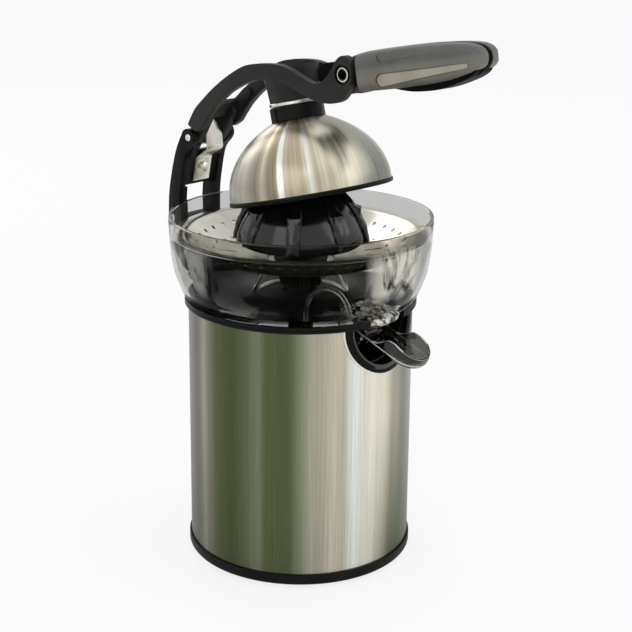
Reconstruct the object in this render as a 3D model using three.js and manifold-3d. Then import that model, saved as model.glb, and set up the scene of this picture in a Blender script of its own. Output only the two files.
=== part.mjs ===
// Lever citrus juice press: a motor body in a steel sleeve carries a clear juice bowl, a ribbed
// reamer and, on a forked rear post, a lever arm with a steel pressing dome.
// Millimetres, +Z up. The origin is on the body's axis at the underside of the base plate,
// the spout and the handle point to -Y and the rear post stands at +Y.

import * as THREE from 'three';
import { mergeVertices } from 'three/addons/utils/BufferGeometryUtils.js';
import Module from 'manifold-3d';

const wasm = await Module();
wasm.setup();

// Shared clearances and the facets of round forms
const gap = 0.3;
const overrun = 1;
const fineSides = 28;
const roundSides = 22;
const smallSides = 12;
const tinySides = 8;
const hexSides = 6;
const curveSteps = 5;

// Sleeve, base ring and base plate
const sleeveRadius = 75;
const sleeveWall = 0.8;
const sleeveLength = 165.3;
const ringProud = 1.3;
const ringHeight = 11.3;
const ringFloor = 6;
const ringWidth = 4.8;
const plateThickness = 3;
const ventCount = 5;
const ventLength = 16;
const ventWidth = 3;
const ventCircle = 42;
const footRadius = 8;
const footDrop = 2.4;
const footStem = 3;
const footInset = 10.2;
const footCount = 4;

// Inner housing and cord gland
const housingWall = 2.4;
const glandHeight = 30;
const glandRadius = 6;
const glandFlange = 9;
const glandFlangeThickness = 2.5;
const glandBore = 3.4;
const glandDepth = 9;

// Top deck, its boss round the drive and its rear ear
const trimProud = 2.5;
const trimHeight = 4.2;
const deckThickness = 4.5;
const deckSkirtDepth = 20;
const guideBore = 12.3;
const guideWall = 2.5;
const guideDrop = 18;
const bossRadius = 27;
const bossRise = 2.5;
const notchHalfWidth = 16.3;
const notchDepth = 34;
const earHalfWidth = 20.5;
const earRibDrop = 14;
const earRibThickness = 3;
const earRibPlace = 17;

// Recess and bezel of the spout
const recessRadius = 27.5;
const recessWall = 2.3;
const bezelFlange = 3.2;
const bezelProud = 1.3;
const recessDepth = 31;
const recessSteps = 7;
const spoutLugThickness = 3;
const spoutLugRadius = 5;

// Spout: a clear spoon-shaped trough on a cross pin under its floor
const spoutPivotInset = 15;
const spoutPivotZ = 160;
const spoutSlope = 14;
const spoutHalfWidth = 13.2;
const spoutWall = 2;
const spoutReach = 48;
const spoutBack = 13;
const spoutFloor = 2;
const spoutHeight = 14;
const spoutBackHeight = 7;
const spoutRise = 18;
const spoutPinRadius = 2;
const spoutKnuckle = 4.4;

// Juice bowl
const bowlOverhang = 10;
const bowlHeight = 54.5;
const bowlWall = 2.3;
const bowlFootInset = 1;
const bowlFloor = 3;
const bellyShares = [[0.36, 0.11], [0.72, 0.32], [0.93, 0.62]];
const bowlLedgeHeight = 42;
const bowlLedgeWidth = 2.8;
const chimneyBase = 32;
const chimneyTop = 24;
const chimneyWall = 2.2;
const chimneyHeight = 23.6;
const nozzleRadius = 8.5;
const nozzleWall = 2.4;
const nozzleDrop = 6.4;

// Strainer
const strainerSheet = 0.8;
const strainerBore = 22.6;
const strainerFloorRadius = 58;
const strainerFloorRise = 3.6;
const strainerShoulderInset = 9.5;
const slotCount = 12;
const slotLength = 11;
const slotWidth = 2;
const slotCircle = 49;

// Reamer
const reamerRadius = 43;
const reamerHeight = 48;
const reamerBaseDrop = 16.9;
const reamerSkirt = 1.8;
const reamerWall = 2.6;
const reamerBend = 1.5;
const reamerRings = 5;
const ribCount = 8;
const ribProud = 2.2;
const ribCrest = 3.6;
const ribRoot = 6.4;
const ribPitchShare = 0.4;
const ribTurn = -54;
const hubRadius = 10;

// Drive shaft, coupling and thrust parts
const shaftRadius = 5;
const shaftTopInset = 13;
const couplingTopRadius = 18;
const couplingFootRadius = 13.5;
const couplingHeight = 18;
const couplingNeck = 8.6;
const couplingNeckHeight = 9;
const fluteCount = 12;
const fluteDepth = 1.1;
const collarHeight = 4;
const pressTravel = 2;
const springWire = 0.7;
const springTurns = 4;
const springSteps = 6;
const springSides = 4;
const springRadius = 9.3;
const springLength = 16;

// Gearbox
const trayZ = 96;
const trayThickness = 3;
const coverWall = 2.2;
const coverInset = 2.5;
const coverHeight = 30;
const coverBoss = 13.6;
const bushRadius = 8;
const bushFlange = 1.6;
const gearInset = 6;
const toothDepthShare = 0.85;
const rootClearanceShare = 0.25;
const toothEdgeShare = 0.125;
const toothLean = 22;
const pinionTeeth = 10;
const wheelTeeth = 30;
const toothPlay = 0.6;
const firstGearZ = 102;
const firstGearWidth = 7.5;
const secondGearZ = 112;
const secondGearWidth = 9;
const idlerPinRadius = 2.5;
const idlerTurn = 150;

// Motor
const motorShaftRadius = 3;
const motorShaftFoot = 14;
const statorRadius = 25.7;
const statorBore = 17;
const statorFoot = 38;
const statorSides = 12;
const frameSides = 16;
const statorLength = 30;
const windingHeight = 4.5;
const windingInset = 1.2;
const armatureGap = 0.7;
const frameRadius = 33;
const frameDisc = 3;
const frameFoot = 18;
const frameHead = 84;
const pillarRadius = 3;
const pillarCount = 4;
const fanFoot = 76;
const fanHeight = 6;
const fanRadius = 24;
const fanHub = 7;
const fanBlades = 5;
const fanBladeThickness = 1.6;
const commutatorRadius = 9;
const commutatorFoot = 24;
const commutatorLength = 7;
const switchWidth = 20;
const switchDepth = 7;
const switchHeight = 11;
const switchPlace = 36;

// Rear post: a fork of two cheeks
const hingeOutset = 1;
const postStandoff = 11;
const hingeRise = 41.6;
const cheekOut = 20.5;
const cheekThickness = 6;
const postTopRadius = 7.8;
const postDepth = 12;
const postLean = 20.5;
const postFootDepth = 11.5;
const postCrookTurn = 215;
const postRearShares = [
  [0.22, 0],
  [0.62, 0.04],
  [0.91, 0.14],
  [1, 0.29],
  [0.97, 0.55],
  [0.8, 0.74],
  [0.62, 0.89],
  [0.38, 1],
];
const postFrontShares = [
  [0.02, 0.915],
  [0.18, 0.85],
  [0.35, 0.69],
  [0.45, 0.54],
  [0.46, 0.35],
  [0.37, 0.2],
  [0.1, 0.1],
  [-0.34, 0.057],
];
const postWebDrop = 10.5;
const postWebHeight = 25;
const postWebThickness = 4;
const postWebInset = 2;
const windowHeight = 23;
const postScrewRadius = 2;
const postScrewHead = 3.8;
const postScrewHeadHeight = 2.4;
const postScrewPlace = 7;
const postScrewDepth = 9;
const hingePinRadius = 2.6;
const stopPinRadius = 1.3;

// Leaf spring on the post's web
const leafWidth = 15;
const leafSheet = 0.9;
const leafStep = 10.5;
const leafRise = 9;
const leafUpper = 14;
const leafPoint = 8;
const leafLower = 17;
const leafHoleRadius = 1.9;
const leafHeadRadius = 3.2;
const leafHeadHeight = 1.6;

// Lever arm in its parked pose. Its centre line is given in shares of the reach from the hinge
// to the handle's bolt and of the arch's rise over the hinge.
const boltOutset = 51.5;
const armRise = 52.5;
const armBandHalf = 5.2;
const armEndHalf = 7.4;
const armSwellShare = 0.25;
const armSteps = 12;
const armLineShares = [
  [0.057, 0.155],
  [0.1, 0.36],
  [0.198, 0.607],
  [0.318, 0.81],
  [0.432, 0.964],
  [0.568, 1],
  [0.664, 0.975],
  [0.753, 0.883],
  [0.832, 0.824],
  [0.904, 0.852],
];
const armCheekInner = 14.5;
const knuckleInner = 8.4;
const knuckleRadius = 5.4;
const knuckleEndShare = 0.1;
const knuckleBlendShare = 0.22;
const armWebHeight = 12;
const armWebThickness = 3;
const lugTopRadius = 7.6;
const lugFootRadius = 10.4;
const lugDropShare = 0.75;
const boltRise = 56.5;
const boltRadius = 3;
const boltHeadRadius = 4.8;
const boltHeadHeight = 2;
const domeTilt = 13.8;

// Pressing dome, measured along its own axis from the rim
const rimRadius = 54.2;
const rimHeight = 4.5;
const rimWall = 3.4;
const shellSheet = 0.8;
const shellHeight = 50.6;
const shellTopRadius = 17;
const shellRiseShare = 0.5;
const shellShoulderShares = [0.72, 0.82];
const shellSteps = 4;
const insertWall = 2;
const insertPlay = 0.5;
const insertSides = 16;
const insertRibs = 6;
const insertRibThickness = 2;
const insertRibProud = 2.4;
const collarRadius = 17.2;
const collarLength = 8.4;
const washerRadius = 17.6;
const washerThickness = 2.1;
const stemRadius = 16.8;
const stemLength = 22;
const domeScrewRadius = 2.8;
const domeScrewHead = 6;
const domeScrewHeadHeight = 1.8;
const domeScrewGrip = 12;
const domeClosedDrop = 9.1;

// Handle, measured along its own axis from the bolt. Each row of its sections: share of the
// length, of the half height, of the half width, and lift of the middle by the half height.
const handleShares = [
  [0, 0.86, 0.86, 0],
  [0.1, 0.93, 0.95, 0],
  [0.3, 1, 1, 0.02],
  [0.5, 1, 1, 0.03],
  [0.7, 0.86, 0.97, 0.1],
  [0.86, 0.72, 0.92, 0.16],
  [0.94, 0.62, 0.86, 0.16],
];
const gripShares = [0.06, 0.16, 0.3, 0.5, 0.7, 0.86];
const handleSides = 14;
const handleRoundnessShare = 0.8;
const handleRise = 10.8;
const handleStart = 7.2;
const handleLength = 98;
const handleHalfHeight = 12.4;
const handleHalfWidth = 14;
const handleTipLength = 7;
const seamWidth = 0.9;
const wedgeDepth = 3.4;
const tangHalfWidth = 14.2;
const tangRadius = 11;
const tangLength = 22;
const tangEndRadius = 5.5;
const panelThickness = 1.2;
const panelLength = 68;
const panelStart = 20;
const panelRadius = 4.2;
const panelTipRadius = 3;
const panelFootDrop = 2.7;
const panelTipLift = 2.2;
const gripWall = 4.8;
const keelHalf = 8.4;
const keelStart = 30;
const keelTop = 4;
const keelMiddle = 55;
const keelEnd = 82;
const keelSag = 6.2;
const keelMiddleRadius = 9.6;
const keelEndRadius = 10.3;
const capShares = [0, 0.4, 0.75, 0.92];

// Heights and radii that follow from the sizes above
const sleeveFoot = ringFloor + gap;
const sleeveTop = sleeveFoot + sleeveLength;
const sleeveBore = sleeveRadius - sleeveWall;
const ringRadius = sleeveRadius + ringProud;
const ringBore = ringRadius - ringWidth;
const plateRadius = ringBore - gap;
const footCircle = plateRadius - footInset;
const housingRadius = sleeveBore - gap;
const housingBore = housingRadius - housingWall;
const coverRadius = housingBore - coverInset;
const trimRadius = sleeveRadius + trimProud;
const trimFoot = sleeveTop + gap;
const deckTop = trimFoot + trimHeight;
const deckUnder = deckTop - deckThickness;
const skirtFoot = deckUnder - deckSkirtDepth;
const housingTop = skirtFoot - gap;
const recessOuter = recessRadius + recessWall;
const spoutPivotY = sleeveRadius - spoutPivotInset;
const bowlRimRadius = trimRadius + bowlOverhang;
const bowlFloorRadius = trimRadius - bowlFootInset;
const bowlFoot = deckTop + gap;
const bowlFloorTop = bowlFoot + bowlFloor;
const bowlTop = bowlFoot + bowlHeight;
const bowlLedge = bowlFoot + bowlLedgeHeight;
const chimneyHead = bowlFoot + chimneyHeight;
const strainerFoot = chimneyHead + gap;
const strainerRim = bowlLedge + gap;
const strainerShoulder = bowlRimRadius - strainerShoulderInset;
const guideFoot = deckUnder - guideDrop;
const guideTop = deckTop + bossRise;
const trayTop = trayZ + trayThickness;
const coverTop = trayTop + gap + coverHeight;
const toothModule = (coverRadius - gearInset) / (wheelTeeth + pinionTeeth / 2 + 1);
const centreDistance = toothModule * (pinionTeeth + wheelTeeth) / 2;
const bushTop = guideFoot - 2 * gap - bushFlange;
const springFoot = guideFoot + gap;
const collarFoot = springFoot + springLength + gap;
const couplingFoot = collarFoot + collarHeight + gap;
const couplingTop = couplingFoot + couplingNeckHeight + couplingHeight;
const hubFoot = couplingTop + gap;
const reamerBase = bowlTop - reamerBaseDrop;
const reamerTop = reamerBase + reamerHeight;
const shaftTop = reamerTop - shaftTopInset;
const shaftFoot = firstGearZ + firstGearWidth + 2 * gap + pressTravel;
const cheekIn = cheekOut - cheekThickness;
const hingeZ = bowlTop + hingeRise;
const hingeY = bowlRimRadius + hingeOutset;
const postMiddleY = trimRadius + postStandoff;
const postFoot = deckTop + gap;
const postFootFront = trimRadius + postDepth / 3;
const earReach = postFootFront + postFootDepth;
const postScrewY = (postFootFront + earReach) / 2;
const postWebTop = hingeZ - postWebDrop;
const postWebFoot = postWebTop - postWebHeight;
const windowFoot = postWebFoot - windowHeight;
const stopPinZ = hingeZ - knuckleRadius - stopPinRadius - 2 * gap;
const armReach = hingeY + boltOutset;
const boltY = hingeY - armReach;
const boltZ = hingeZ + boltRise;
const domeClosedZ = bowlTop - domeClosedDrop;
const shellTop = shellHeight + shellSheet;
const collarSeat = shellTop + gap;
const washerSeat = collarSeat + collarLength + gap;
const stemSeat = washerSeat + washerThickness + gap;
const insertTop = shellHeight - shellSheet - insertPlay;
const gripEndShare = 1 - (handleTipLength + seamWidth) / handleLength;

// Materials
function material(color, roughness, metalness, opacity = 1) {
  return new THREE.MeshStandardMaterial({
    color,
    roughness,
    metalness,
    opacity,
    transparent: opacity < 1,
  });
}
const steel = material(0xb9b6ae, 0.32, 1);
const brightSteel = material(0xc9c8c4, 0.25, 1);
const blackPlastic = material(0x17181a, 0.42, 0);
const charcoalPlastic = material(0x3a3a38, 0.5, 0);
const greyGrip = material(0x5c5d58, 0.6, 0);
const beigePanel = material(0x85806f, 0.55, 0);
const clearPlastic = material(0xd5d8d6, 0.08, 0, 0.3);
const rubber = material(0x1b1b1b, 0.85, 0);
const nylon = material(0xd9d4c4, 0.5, 0);
const copper = material(0xb0653a, 0.4, 1);
const brass = material(0xb8964a, 0.35, 1);

// Closed geometry, welded, with its faces pointing out
function signedVolume(points, faces) {
  const a = new THREE.Vector3();
  const b = new THREE.Vector3();
  const c = new THREE.Vector3();
  let sum = 0;
  for (let i = 0; i < faces.length; i += 3) {
    a.fromArray(points, 3 * faces[i]);
    b.fromArray(points, 3 * faces[i + 1]);
    c.fromArray(points, 3 * faces[i + 2]);
    sum += a.dot(b.cross(c));
  }
  return sum;
}

function closed(geometry) {
  const bare = geometry.clone();
  bare.deleteAttribute('normal');
  bare.deleteAttribute('uv');
  const welded = mergeVertices(bare);
  const points = welded.attributes.position.array;
  const index = welded.index.array;
  const faces = [];
  for (let i = 0; i < index.length; i += 3) {
    const [a, b, c] = [index[i], index[i + 1], index[i + 2]];
    if (a !== b && b !== c && c !== a) faces.push(a, b, c);
  }
  if (signedVolume(points, faces) < 0) faces.reverse();
  const result = new THREE.BufferGeometry();
  result.setAttribute('position', new THREE.BufferAttribute(new Float32Array(points), 3));
  result.setIndex(faces);
  return result;
}

function toSolid(geometry) {
  const { attributes, index } = closed(geometry);
  return new wasm.Manifold(new wasm.Mesh({
    numProp: 3,
    vertProperties: attributes.position.array,
    triVerts: new Uint32Array(index.array),
  }));
}

function toGeometry(solid) {
  const mesh = solid.getMesh();
  const result = new THREE.BufferGeometry();
  const points = new Float32Array(mesh.vertProperties);
  result.setAttribute('position', new THREE.BufferAttribute(points, 3));
  result.setIndex(Array.from(mesh.triVerts));
  return result;
}

function join(first, ...others) {
  return toGeometry(others.reduce((sum, other) => sum.add(toSolid(other)), toSolid(first)));
}

function cut(first, ...others) {
  return toGeometry(others.reduce((rest, other) => rest.subtract(toSolid(other)), toSolid(first)));
}

function common(first, second) {
  return toGeometry(toSolid(first).intersect(toSolid(second)));
}

// Turned form from [radius, height] points; a profile off the axis closes on itself
function turned(profile, sides = roundSides) {
  const points = profile.map(([r, z]) => new THREE.Vector2(r, z));
  const first = points[0];
  const last = points[points.length - 1];
  if (first.x > 0 || last.x > 0) points.push(first.clone());
  return closed(new THREE.LatheGeometry(points, sides).rotateX(Math.PI / 2));
}

function disc(radius, foot, top, sides = roundSides) {
  return turned([[0, foot], [radius, foot], [radius, top], [0, top]], sides);
}

function washer(bore, radius, foot, top, sides = roundSides) {
  return turned([[bore, foot], [radius, foot], [radius, top], [bore, top]], sides);
}

// Round bar along X between two places
function crossBar(radius, from, to, y, z, sides = smallSides) {
  return disc(radius, from, to, sides).rotateY(Math.PI / 2).translate(0, y, z);
}

function block(x0, x1, y0, y1, z0, z1) {
  const box = new THREE.BoxGeometry(x1 - x0, y1 - y0, z1 - z0);
  return box.translate((x0 + x1) / 2, (y0 + y1) / 2, (z0 + z1) / 2);
}

// Side outline in (y, z), extruded across X
function acrossX(outline, from, to) {
  const form = new THREE.ExtrudeGeometry(outline, { depth: to - from, bevelEnabled: false });
  const frame = new THREE.Matrix4().makeBasis(
    new THREE.Vector3(0, 1, 0),
    new THREE.Vector3(0, 0, 1),
    new THREE.Vector3(1, 0, 0),
  );
  return form.applyMatrix4(frame).translate(from, 0, 0);
}

// Front outline in (x, z), extruded towards -Y from a starting place
function towardsFront(outline, start, depth) {
  const form = new THREE.ExtrudeGeometry(outline, { depth, bevelEnabled: false });
  return form.rotateX(Math.PI / 2).translate(0, start, 0);
}

function outlineOf(points) {
  return new THREE.Shape(points.map(([u, v]) => new THREE.Vector2(u, v)));
}

function arcPoints(u, v, radius, from, to, steps) {
  const points = [];
  for (let i = 0; i <= steps; i += 1) {
    const angle = THREE.MathUtils.degToRad(from + (to - from) * i / steps);
    points.push([u + radius * Math.cos(angle), v + radius * Math.sin(angle)]);
  }
  return points;
}

// Two circles joined by their outer tangents
function linkOutline([u0, v0, r0], [u1, v1, r1], steps = curveSteps) {
  const along = Math.atan2(v1 - v0, u1 - u0);
  const lean = Math.acos((r0 - r1) / Math.hypot(u1 - u0, v1 - v0));
  const degrees = THREE.MathUtils.radToDeg;
  const left = degrees(along + lean);
  const right = degrees(along - lean);
  return outlineOf([
    ...arcPoints(u0, v0, r0, left, right + 360, steps),
    ...arcPoints(u1, v1, r1, right, left, steps),
  ]);
}

// Skin over rings of points, closed at both ends
function loft(rings) {
  const count = rings[0].length;
  const points = rings.flat();
  const faces = [];
  for (let i = 0; i + 1 < rings.length; i += 1) {
    for (let j = 0; j < count; j += 1) {
      const a = i * count + j;
      const b = i * count + (j + 1) % count;
      faces.push(a, b, a + count, b, b + count, a + count);
    }
  }
  const ends = [[0, 1], [rings.length - 1, -1]];
  for (const [ring, turn] of ends) {
    const middle = new THREE.Vector3();
    for (const point of rings[ring]) middle.addScaledVector(point, 1 / count);
    points.push(middle);
    const hub = points.length - 1;
    for (let j = 0; j < count; j += 1) {
      const a = ring * count + j;
      const b = ring * count + (j + 1) % count;
      faces.push(...(turn > 0 ? [hub, b, a] : [hub, a, b]));
    }
  }
  const result = new THREE.BufferGeometry().setFromPoints(points);
  result.setIndex(faces);
  return closed(result);
}

function piece(name, geometry, look) {
  const mesh = new THREE.Mesh(geometry, look);
  mesh.name = name;
  return mesh;
}

function aroundZ(geometry, degrees) {
  return geometry.rotateZ(THREE.MathUtils.degToRad(degrees));
}

// U-shaped front outline of the recess: a half disc hanging from the sleeve's top edge
function recessOutline(radius, top = sleeveTop) {
  const half = arcPoints(0, sleeveTop, radius, 180, 360, recessSteps);
  return outlineOf(top > sleeveTop ? [...half, [radius, top], [-radius, top]] : half);
}

function recessCutter() {
  const outline = recessOutline(recessOuter + gap, sleeveTop + overrun);
  return towardsFront(outline, -(sleeveRadius - recessDepth - recessWall - gap), sleeveRadius);
}

// Base ring, base plate and feet
function baseRing() {
  return turned([
    [ringBore, 0],
    [ringRadius, 0],
    [ringRadius, ringHeight],
    [sleeveRadius + gap, ringHeight],
    [sleeveRadius + gap, ringFloor],
    [ringBore, ringFloor],
  ], fineSides);
}

function basePlate() {
  const plate = disc(plateRadius, 0, plateThickness, fineSides);
  const cuts = [];
  for (let i = 0; i < ventCount; i += 1) {
    const inner = ventCircle - ventLength / 2;
    const slot = block(inner, inner + ventLength, -ventWidth / 2, ventWidth / 2,
      -overrun, plateThickness + overrun);
    cuts.push(aroundZ(slot, 360 * i / ventCount));
  }
  for (let i = 0; i < footCount; i += 1) {
    const hole = disc(footStem + gap, -overrun, plateThickness + overrun, tinySides);
    cuts.push(aroundZ(hole.translate(footCircle, 0, 0), 360 * (i + 0.5) / footCount));
  }
  return cut(plate, ...cuts);
}

function foot(i) {
  const form = turned([
    [0, -footDrop - gap],
    [footRadius, -footDrop - gap],
    [footRadius, -gap],
    [footStem, -gap],
    [footStem, plateThickness],
    [0, plateThickness],
  ], tinySides);
  return aroundZ(form.translate(footCircle, 0, 0), 360 * (i + 0.5) / footCount);
}

// Sleeve and inner housing, both opened for the recess and the cord gland
function glandCutter(radius) {
  const bar = disc(radius, 0, sleeveRadius + overrun, smallSides);
  return bar.rotateX(-Math.PI / 2).translate(0, 0, glandHeight);
}

function outerSleeve() {
  const tube = washer(sleeveBore, sleeveRadius, sleeveFoot, sleeveTop, fineSides);
  return cut(tube, recessCutter(), glandCutter(glandRadius + gap));
}

function innerHousing() {
  const tube = washer(housingBore, housingRadius, sleeveFoot, housingTop, fineSides);
  const ledge = washer(coverRadius - housingWall, housingBore + housingWall / 2,
    trayZ - gap - trayThickness, trayZ - gap, fineSides);
  return cut(join(tube, ledge), recessCutter(), glandCutter(glandRadius + gap));
}

function cordGland() {
  const form = turned([
    [glandBore, housingBore - glandDepth],
    [glandRadius, housingBore - glandDepth],
    [glandRadius, sleeveRadius + gap],
    [glandFlange, sleeveRadius + gap],
    [glandFlange, sleeveRadius + gap + glandFlangeThickness],
    [glandBore, sleeveRadius + gap + glandFlangeThickness],
  ], smallSides);
  return form.rotateX(-Math.PI / 2).translate(0, 0, glandHeight);
}

// Top deck with trim ring, drive boss, spout notch and rear ear
function topDeck() {
  const form = turned([
    [guideBore, guideFoot],
    [guideBore + guideWall, guideFoot],
    [guideBore + guideWall, deckUnder],
    [housingBore, deckUnder],
    [housingBore, skirtFoot],
    [housingRadius, skirtFoot],
    [housingRadius, trimFoot],
    [trimRadius, trimFoot],
    [trimRadius, deckTop],
    [bossRadius, deckTop],
    [guideBore + guideWall, guideTop],
    [guideBore, guideTop],
  ], fineSides);
  const ear = block(-earHalfWidth, earHalfWidth, housingBore, earReach, trimFoot, deckTop);
  const ribOutline = outlineOf([
    [sleeveRadius + gap, trimFoot + trimHeight / 2],
    [sleeveRadius + gap, trimFoot - earRibDrop],
    [earReach, trimFoot],
    [earReach, trimFoot + trimHeight / 2],
  ]);
  const ribs = [-1, 1].map((side) => {
    const middle = side * earRibPlace;
    return acrossX(ribOutline, middle - earRibThickness / 2, middle + earRibThickness / 2);
  });
  const notch = block(-notchHalfWidth, notchHalfWidth, -trimRadius - overrun,
    -(sleeveRadius - notchDepth), skirtFoot - overrun, deckTop + overrun);
  const holes = [-1, 1].map((side) => disc(postScrewRadius + gap, trimFoot - overrun,
    deckTop + overrun, tinySides).translate(side * postScrewPlace, postScrewY, 0));
  return cut(join(form, ear, ...ribs), notch, recessCutter(), ...holes);
}

// Bezel: a flange on the sleeve, a U-shaped pocket behind it and two lugs for the spout's pin
function spoutBezel() {
  const back = sleeveRadius - recessDepth;
  const shell = towardsFront(recessOutline(recessOuter), -back + recessWall, sleeveRadius);
  const pocket = towardsFront(recessOutline(recessRadius, sleeveTop + overrun), -back,
    sleeveRadius);
  const flange = towardsFront(recessOutline(recessOuter + bezelFlange), -back, sleeveRadius);
  const front = sleeveRadius + gap + bezelProud;
  const barrel = disc(front, 0, sleeveTop, fineSides);
  const skin = washer(sleeveRadius + gap, front, 0, sleeveTop, fineSides);
  const lugs = [-1, 1].map((side) => {
    const inner = side * (spoutHalfWidth + gap);
    const outer = inner + side * spoutLugThickness;
    const outline = linkOutline(
      [-spoutPivotY, spoutPivotZ, spoutLugRadius],
      [-back, spoutPivotZ, spoutLugRadius + spoutPinRadius],
    );
    return acrossX(outline, Math.min(inner, outer), Math.max(inner, outer));
  });
  const body = common(join(shell, common(flange, skin)), barrel);
  const keep = block(-recessOuter, recessOuter, -front, -back + recessWall, 0, sleeveTop);
  const full = join(cut(body, pocket), ...lugs.map((lug) => common(lug, keep)));
  const pinHole = crossBar(spoutPinRadius + gap, -recessRadius + recessWall,
    recessRadius - recessWall, -spoutPivotY, spoutPivotZ, tinySides);
  return cut(full, pinHole);
}

// Spout trough, drawn level with its pin at the origin and turned down to pour
function spoutTrough() {
  const top = spoutFloor + spoutHeight;
  const half = spoutHalfWidth;
  const plan = new THREE.Shape();
  plan.moveTo(-half, spoutBack);
  plan.lineTo(-half, -spoutReach + half);
  plan.absarc(0, -spoutReach + half, half, Math.PI, 2 * Math.PI, false);
  plan.lineTo(half, spoutBack);
  const depth = { depth: spoutHeight, bevelEnabled: false, curveSegments: 12 };
  const outer = new THREE.ExtrudeGeometry(plan, depth).translate(0, 0, spoutFloor);
  const inner = new THREE.ExtrudeGeometry(planInset(spoutWall), depth);
  inner.translate(0, 0, spoutFloor + spoutWall);
  const slopeStart = -spoutBack / 2;
  const lowered = acrossX(outlineOf([
    [spoutBack + overrun, spoutFloor + spoutBackHeight],
    [spoutBack + overrun, top + overrun],
    [-spoutRise - spoutBack / 2, top + overrun],
    [slopeStart, spoutFloor + spoutBackHeight],
  ]), -half - overrun, half + overrun);
  const knuckle = linkOutline([0, 0, spoutKnuckle], [0, spoutFloor + spoutWall / 2, spoutKnuckle / 2]);
  const neck = acrossX(knuckle, -half / 2, half / 2);
  const trough = join(cut(outer, inner, lowered), neck);
  const bore = crossBar(spoutPinRadius + gap, -half, half, 0, 0, tinySides);
  return cut(trough, bore);
}

function planInset(inset) {
  const half = spoutHalfWidth - inset;
  const plan = new THREE.Shape();
  plan.moveTo(-half, spoutBack - inset);
  plan.lineTo(-half, -spoutReach + spoutHalfWidth);
  plan.absarc(0, -spoutReach + spoutHalfWidth, half, Math.PI, 2 * Math.PI, false);
  plan.lineTo(half, spoutBack - inset);
  return plan;
}

// Juice bowl: curved wall, ledge for the strainer, central chimney and outlet nozzle
function bowl() {
  const bulge = bowlRimRadius - bowlFloorRadius;
  const belly = bellyShares.map(([out, up]) => [
    bowlFloorRadius + out * bulge,
    bowlFoot + up * bowlHeight,
  ]);
  const wallInner = bowlRimRadius - bowlWall;
  const inside = belly.slice(1, -1).map(([r, z]) => [r - bowlWall, z]).reverse();
  const shell = turned([
    [bowlFloorRadius, bowlFoot],
    ...belly,
    [bowlRimRadius, bowlTop],
    [wallInner, bowlTop],
    [wallInner - bowlWall / 3, bowlLedge],
    [wallInner - bowlLedgeWidth, bowlLedge],
    ...inside,
    [bowlFloorRadius - bowlWall / 2, bowlFloorTop],
    [chimneyBase, bowlFloorTop],
    [chimneyTop, chimneyHead],
    [chimneyTop - chimneyWall, chimneyHead],
    [chimneyBase - chimneyWall, bowlFoot],
  ], fineSides);
  const nozzle = disc(nozzleRadius, bowlFoot - nozzleDrop, bowlFloorTop, smallSides);
  const bore = disc(nozzleRadius - nozzleWall, bowlFoot - nozzleDrop - overrun,
    bowlFloorTop + overrun, smallSides);
  return cut(
    join(shell, nozzle.translate(0, -spoutPivotY, 0)),
    bore.translate(0, -spoutPivotY, 0),
  );
}

// Strainer dish with a ring of drain slots
function strainer() {
  const rimOut = bowlRimRadius - bowlWall - bowlWall / 3 - gap;
  const under = [
    [strainerBore, strainerFoot],
    [strainerFloorRadius, strainerFoot + strainerFloorRise],
    [strainerShoulder, strainerRim],
    [rimOut, strainerRim],
  ];
  const over = under.map(([r, z]) => [r, z + strainerSheet]).reverse();
  const dish = turned([...under, ...over], fineSides);
  const slots = [];
  for (let i = 0; i < slotCount; i += 1) {
    const slot = block(slotCircle - slotLength / 2, slotCircle + slotLength / 2,
      -slotWidth / 2, slotWidth / 2, strainerFoot, strainerRim);
    slots.push(aroundZ(slot, 360 * (i + 0.5) / slotCount));
  }
  return cut(dish, ...slots);
}

// Reamer: a hollow rounded cone, lofted with its ribs, round a hub over the shaft
function reamerCurve(radius, height) {
  const points = [];
  for (let i = 0; i <= reamerRings; i += 1) {
    const share = Math.sin(Math.PI / 2 * i / reamerRings);
    const width = (1 - share ** reamerBend) ** (1 / reamerBend);
    points.push([radius * width, reamerBase + height * share]);
  }
  return points;
}

function reamerRing(radius, z) {
  const pitch = 2 * Math.PI / ribCount;
  const crest = Math.min(ribCrest / 2 / (radius + ribProud), pitch * ribPitchShare / 2);
  const root = Math.min(ribRoot / 2 / radius, pitch * ribPitchShare);
  const corners = [[radius, -root], [radius + ribProud, -crest], [radius + ribProud, crest],
    [radius, root]];
  const ring = [];
  for (let i = 0; i < ribCount; i += 1) {
    const middle = THREE.MathUtils.degToRad(90 + ribTurn) + pitch * i;
    for (const [r, turn] of corners) {
      ring.push(new THREE.Vector3(r * Math.cos(middle + turn), r * Math.sin(middle + turn), z));
    }
  }
  return ring;
}

function reamer() {
  const skirt = reamerBase - reamerSkirt;
  const curve = reamerCurve(reamerRadius, reamerHeight).filter(([r]) => r > shaftRadius);
  const cone = loft([[reamerRadius, skirt], ...curve].map(([r, z]) => reamerRing(r, z)));
  const tip = disc(shaftRadius + reamerWall, shaftTop, reamerTop, tinySides);
  const hub = disc(hubRadius, hubFoot, shaftTop, smallSides);
  const hollow = reamerCurve(reamerRadius - reamerWall, reamerHeight - reamerWall)
    .filter(([r]) => r > hubRadius + reamerWall);
  const space = turned([
    [hubRadius, skirt - overrun],
    [reamerRadius - reamerWall, skirt - overrun],
    ...hollow,
    [hubRadius, shaftTop - reamerWall],
  ], roundSides);
  const bore = disc(shaftRadius + gap, hubFoot - overrun, shaftTop + gap, smallSides);
  return cut(join(cut(cone, space), hub, tip), bore);
}

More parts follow.
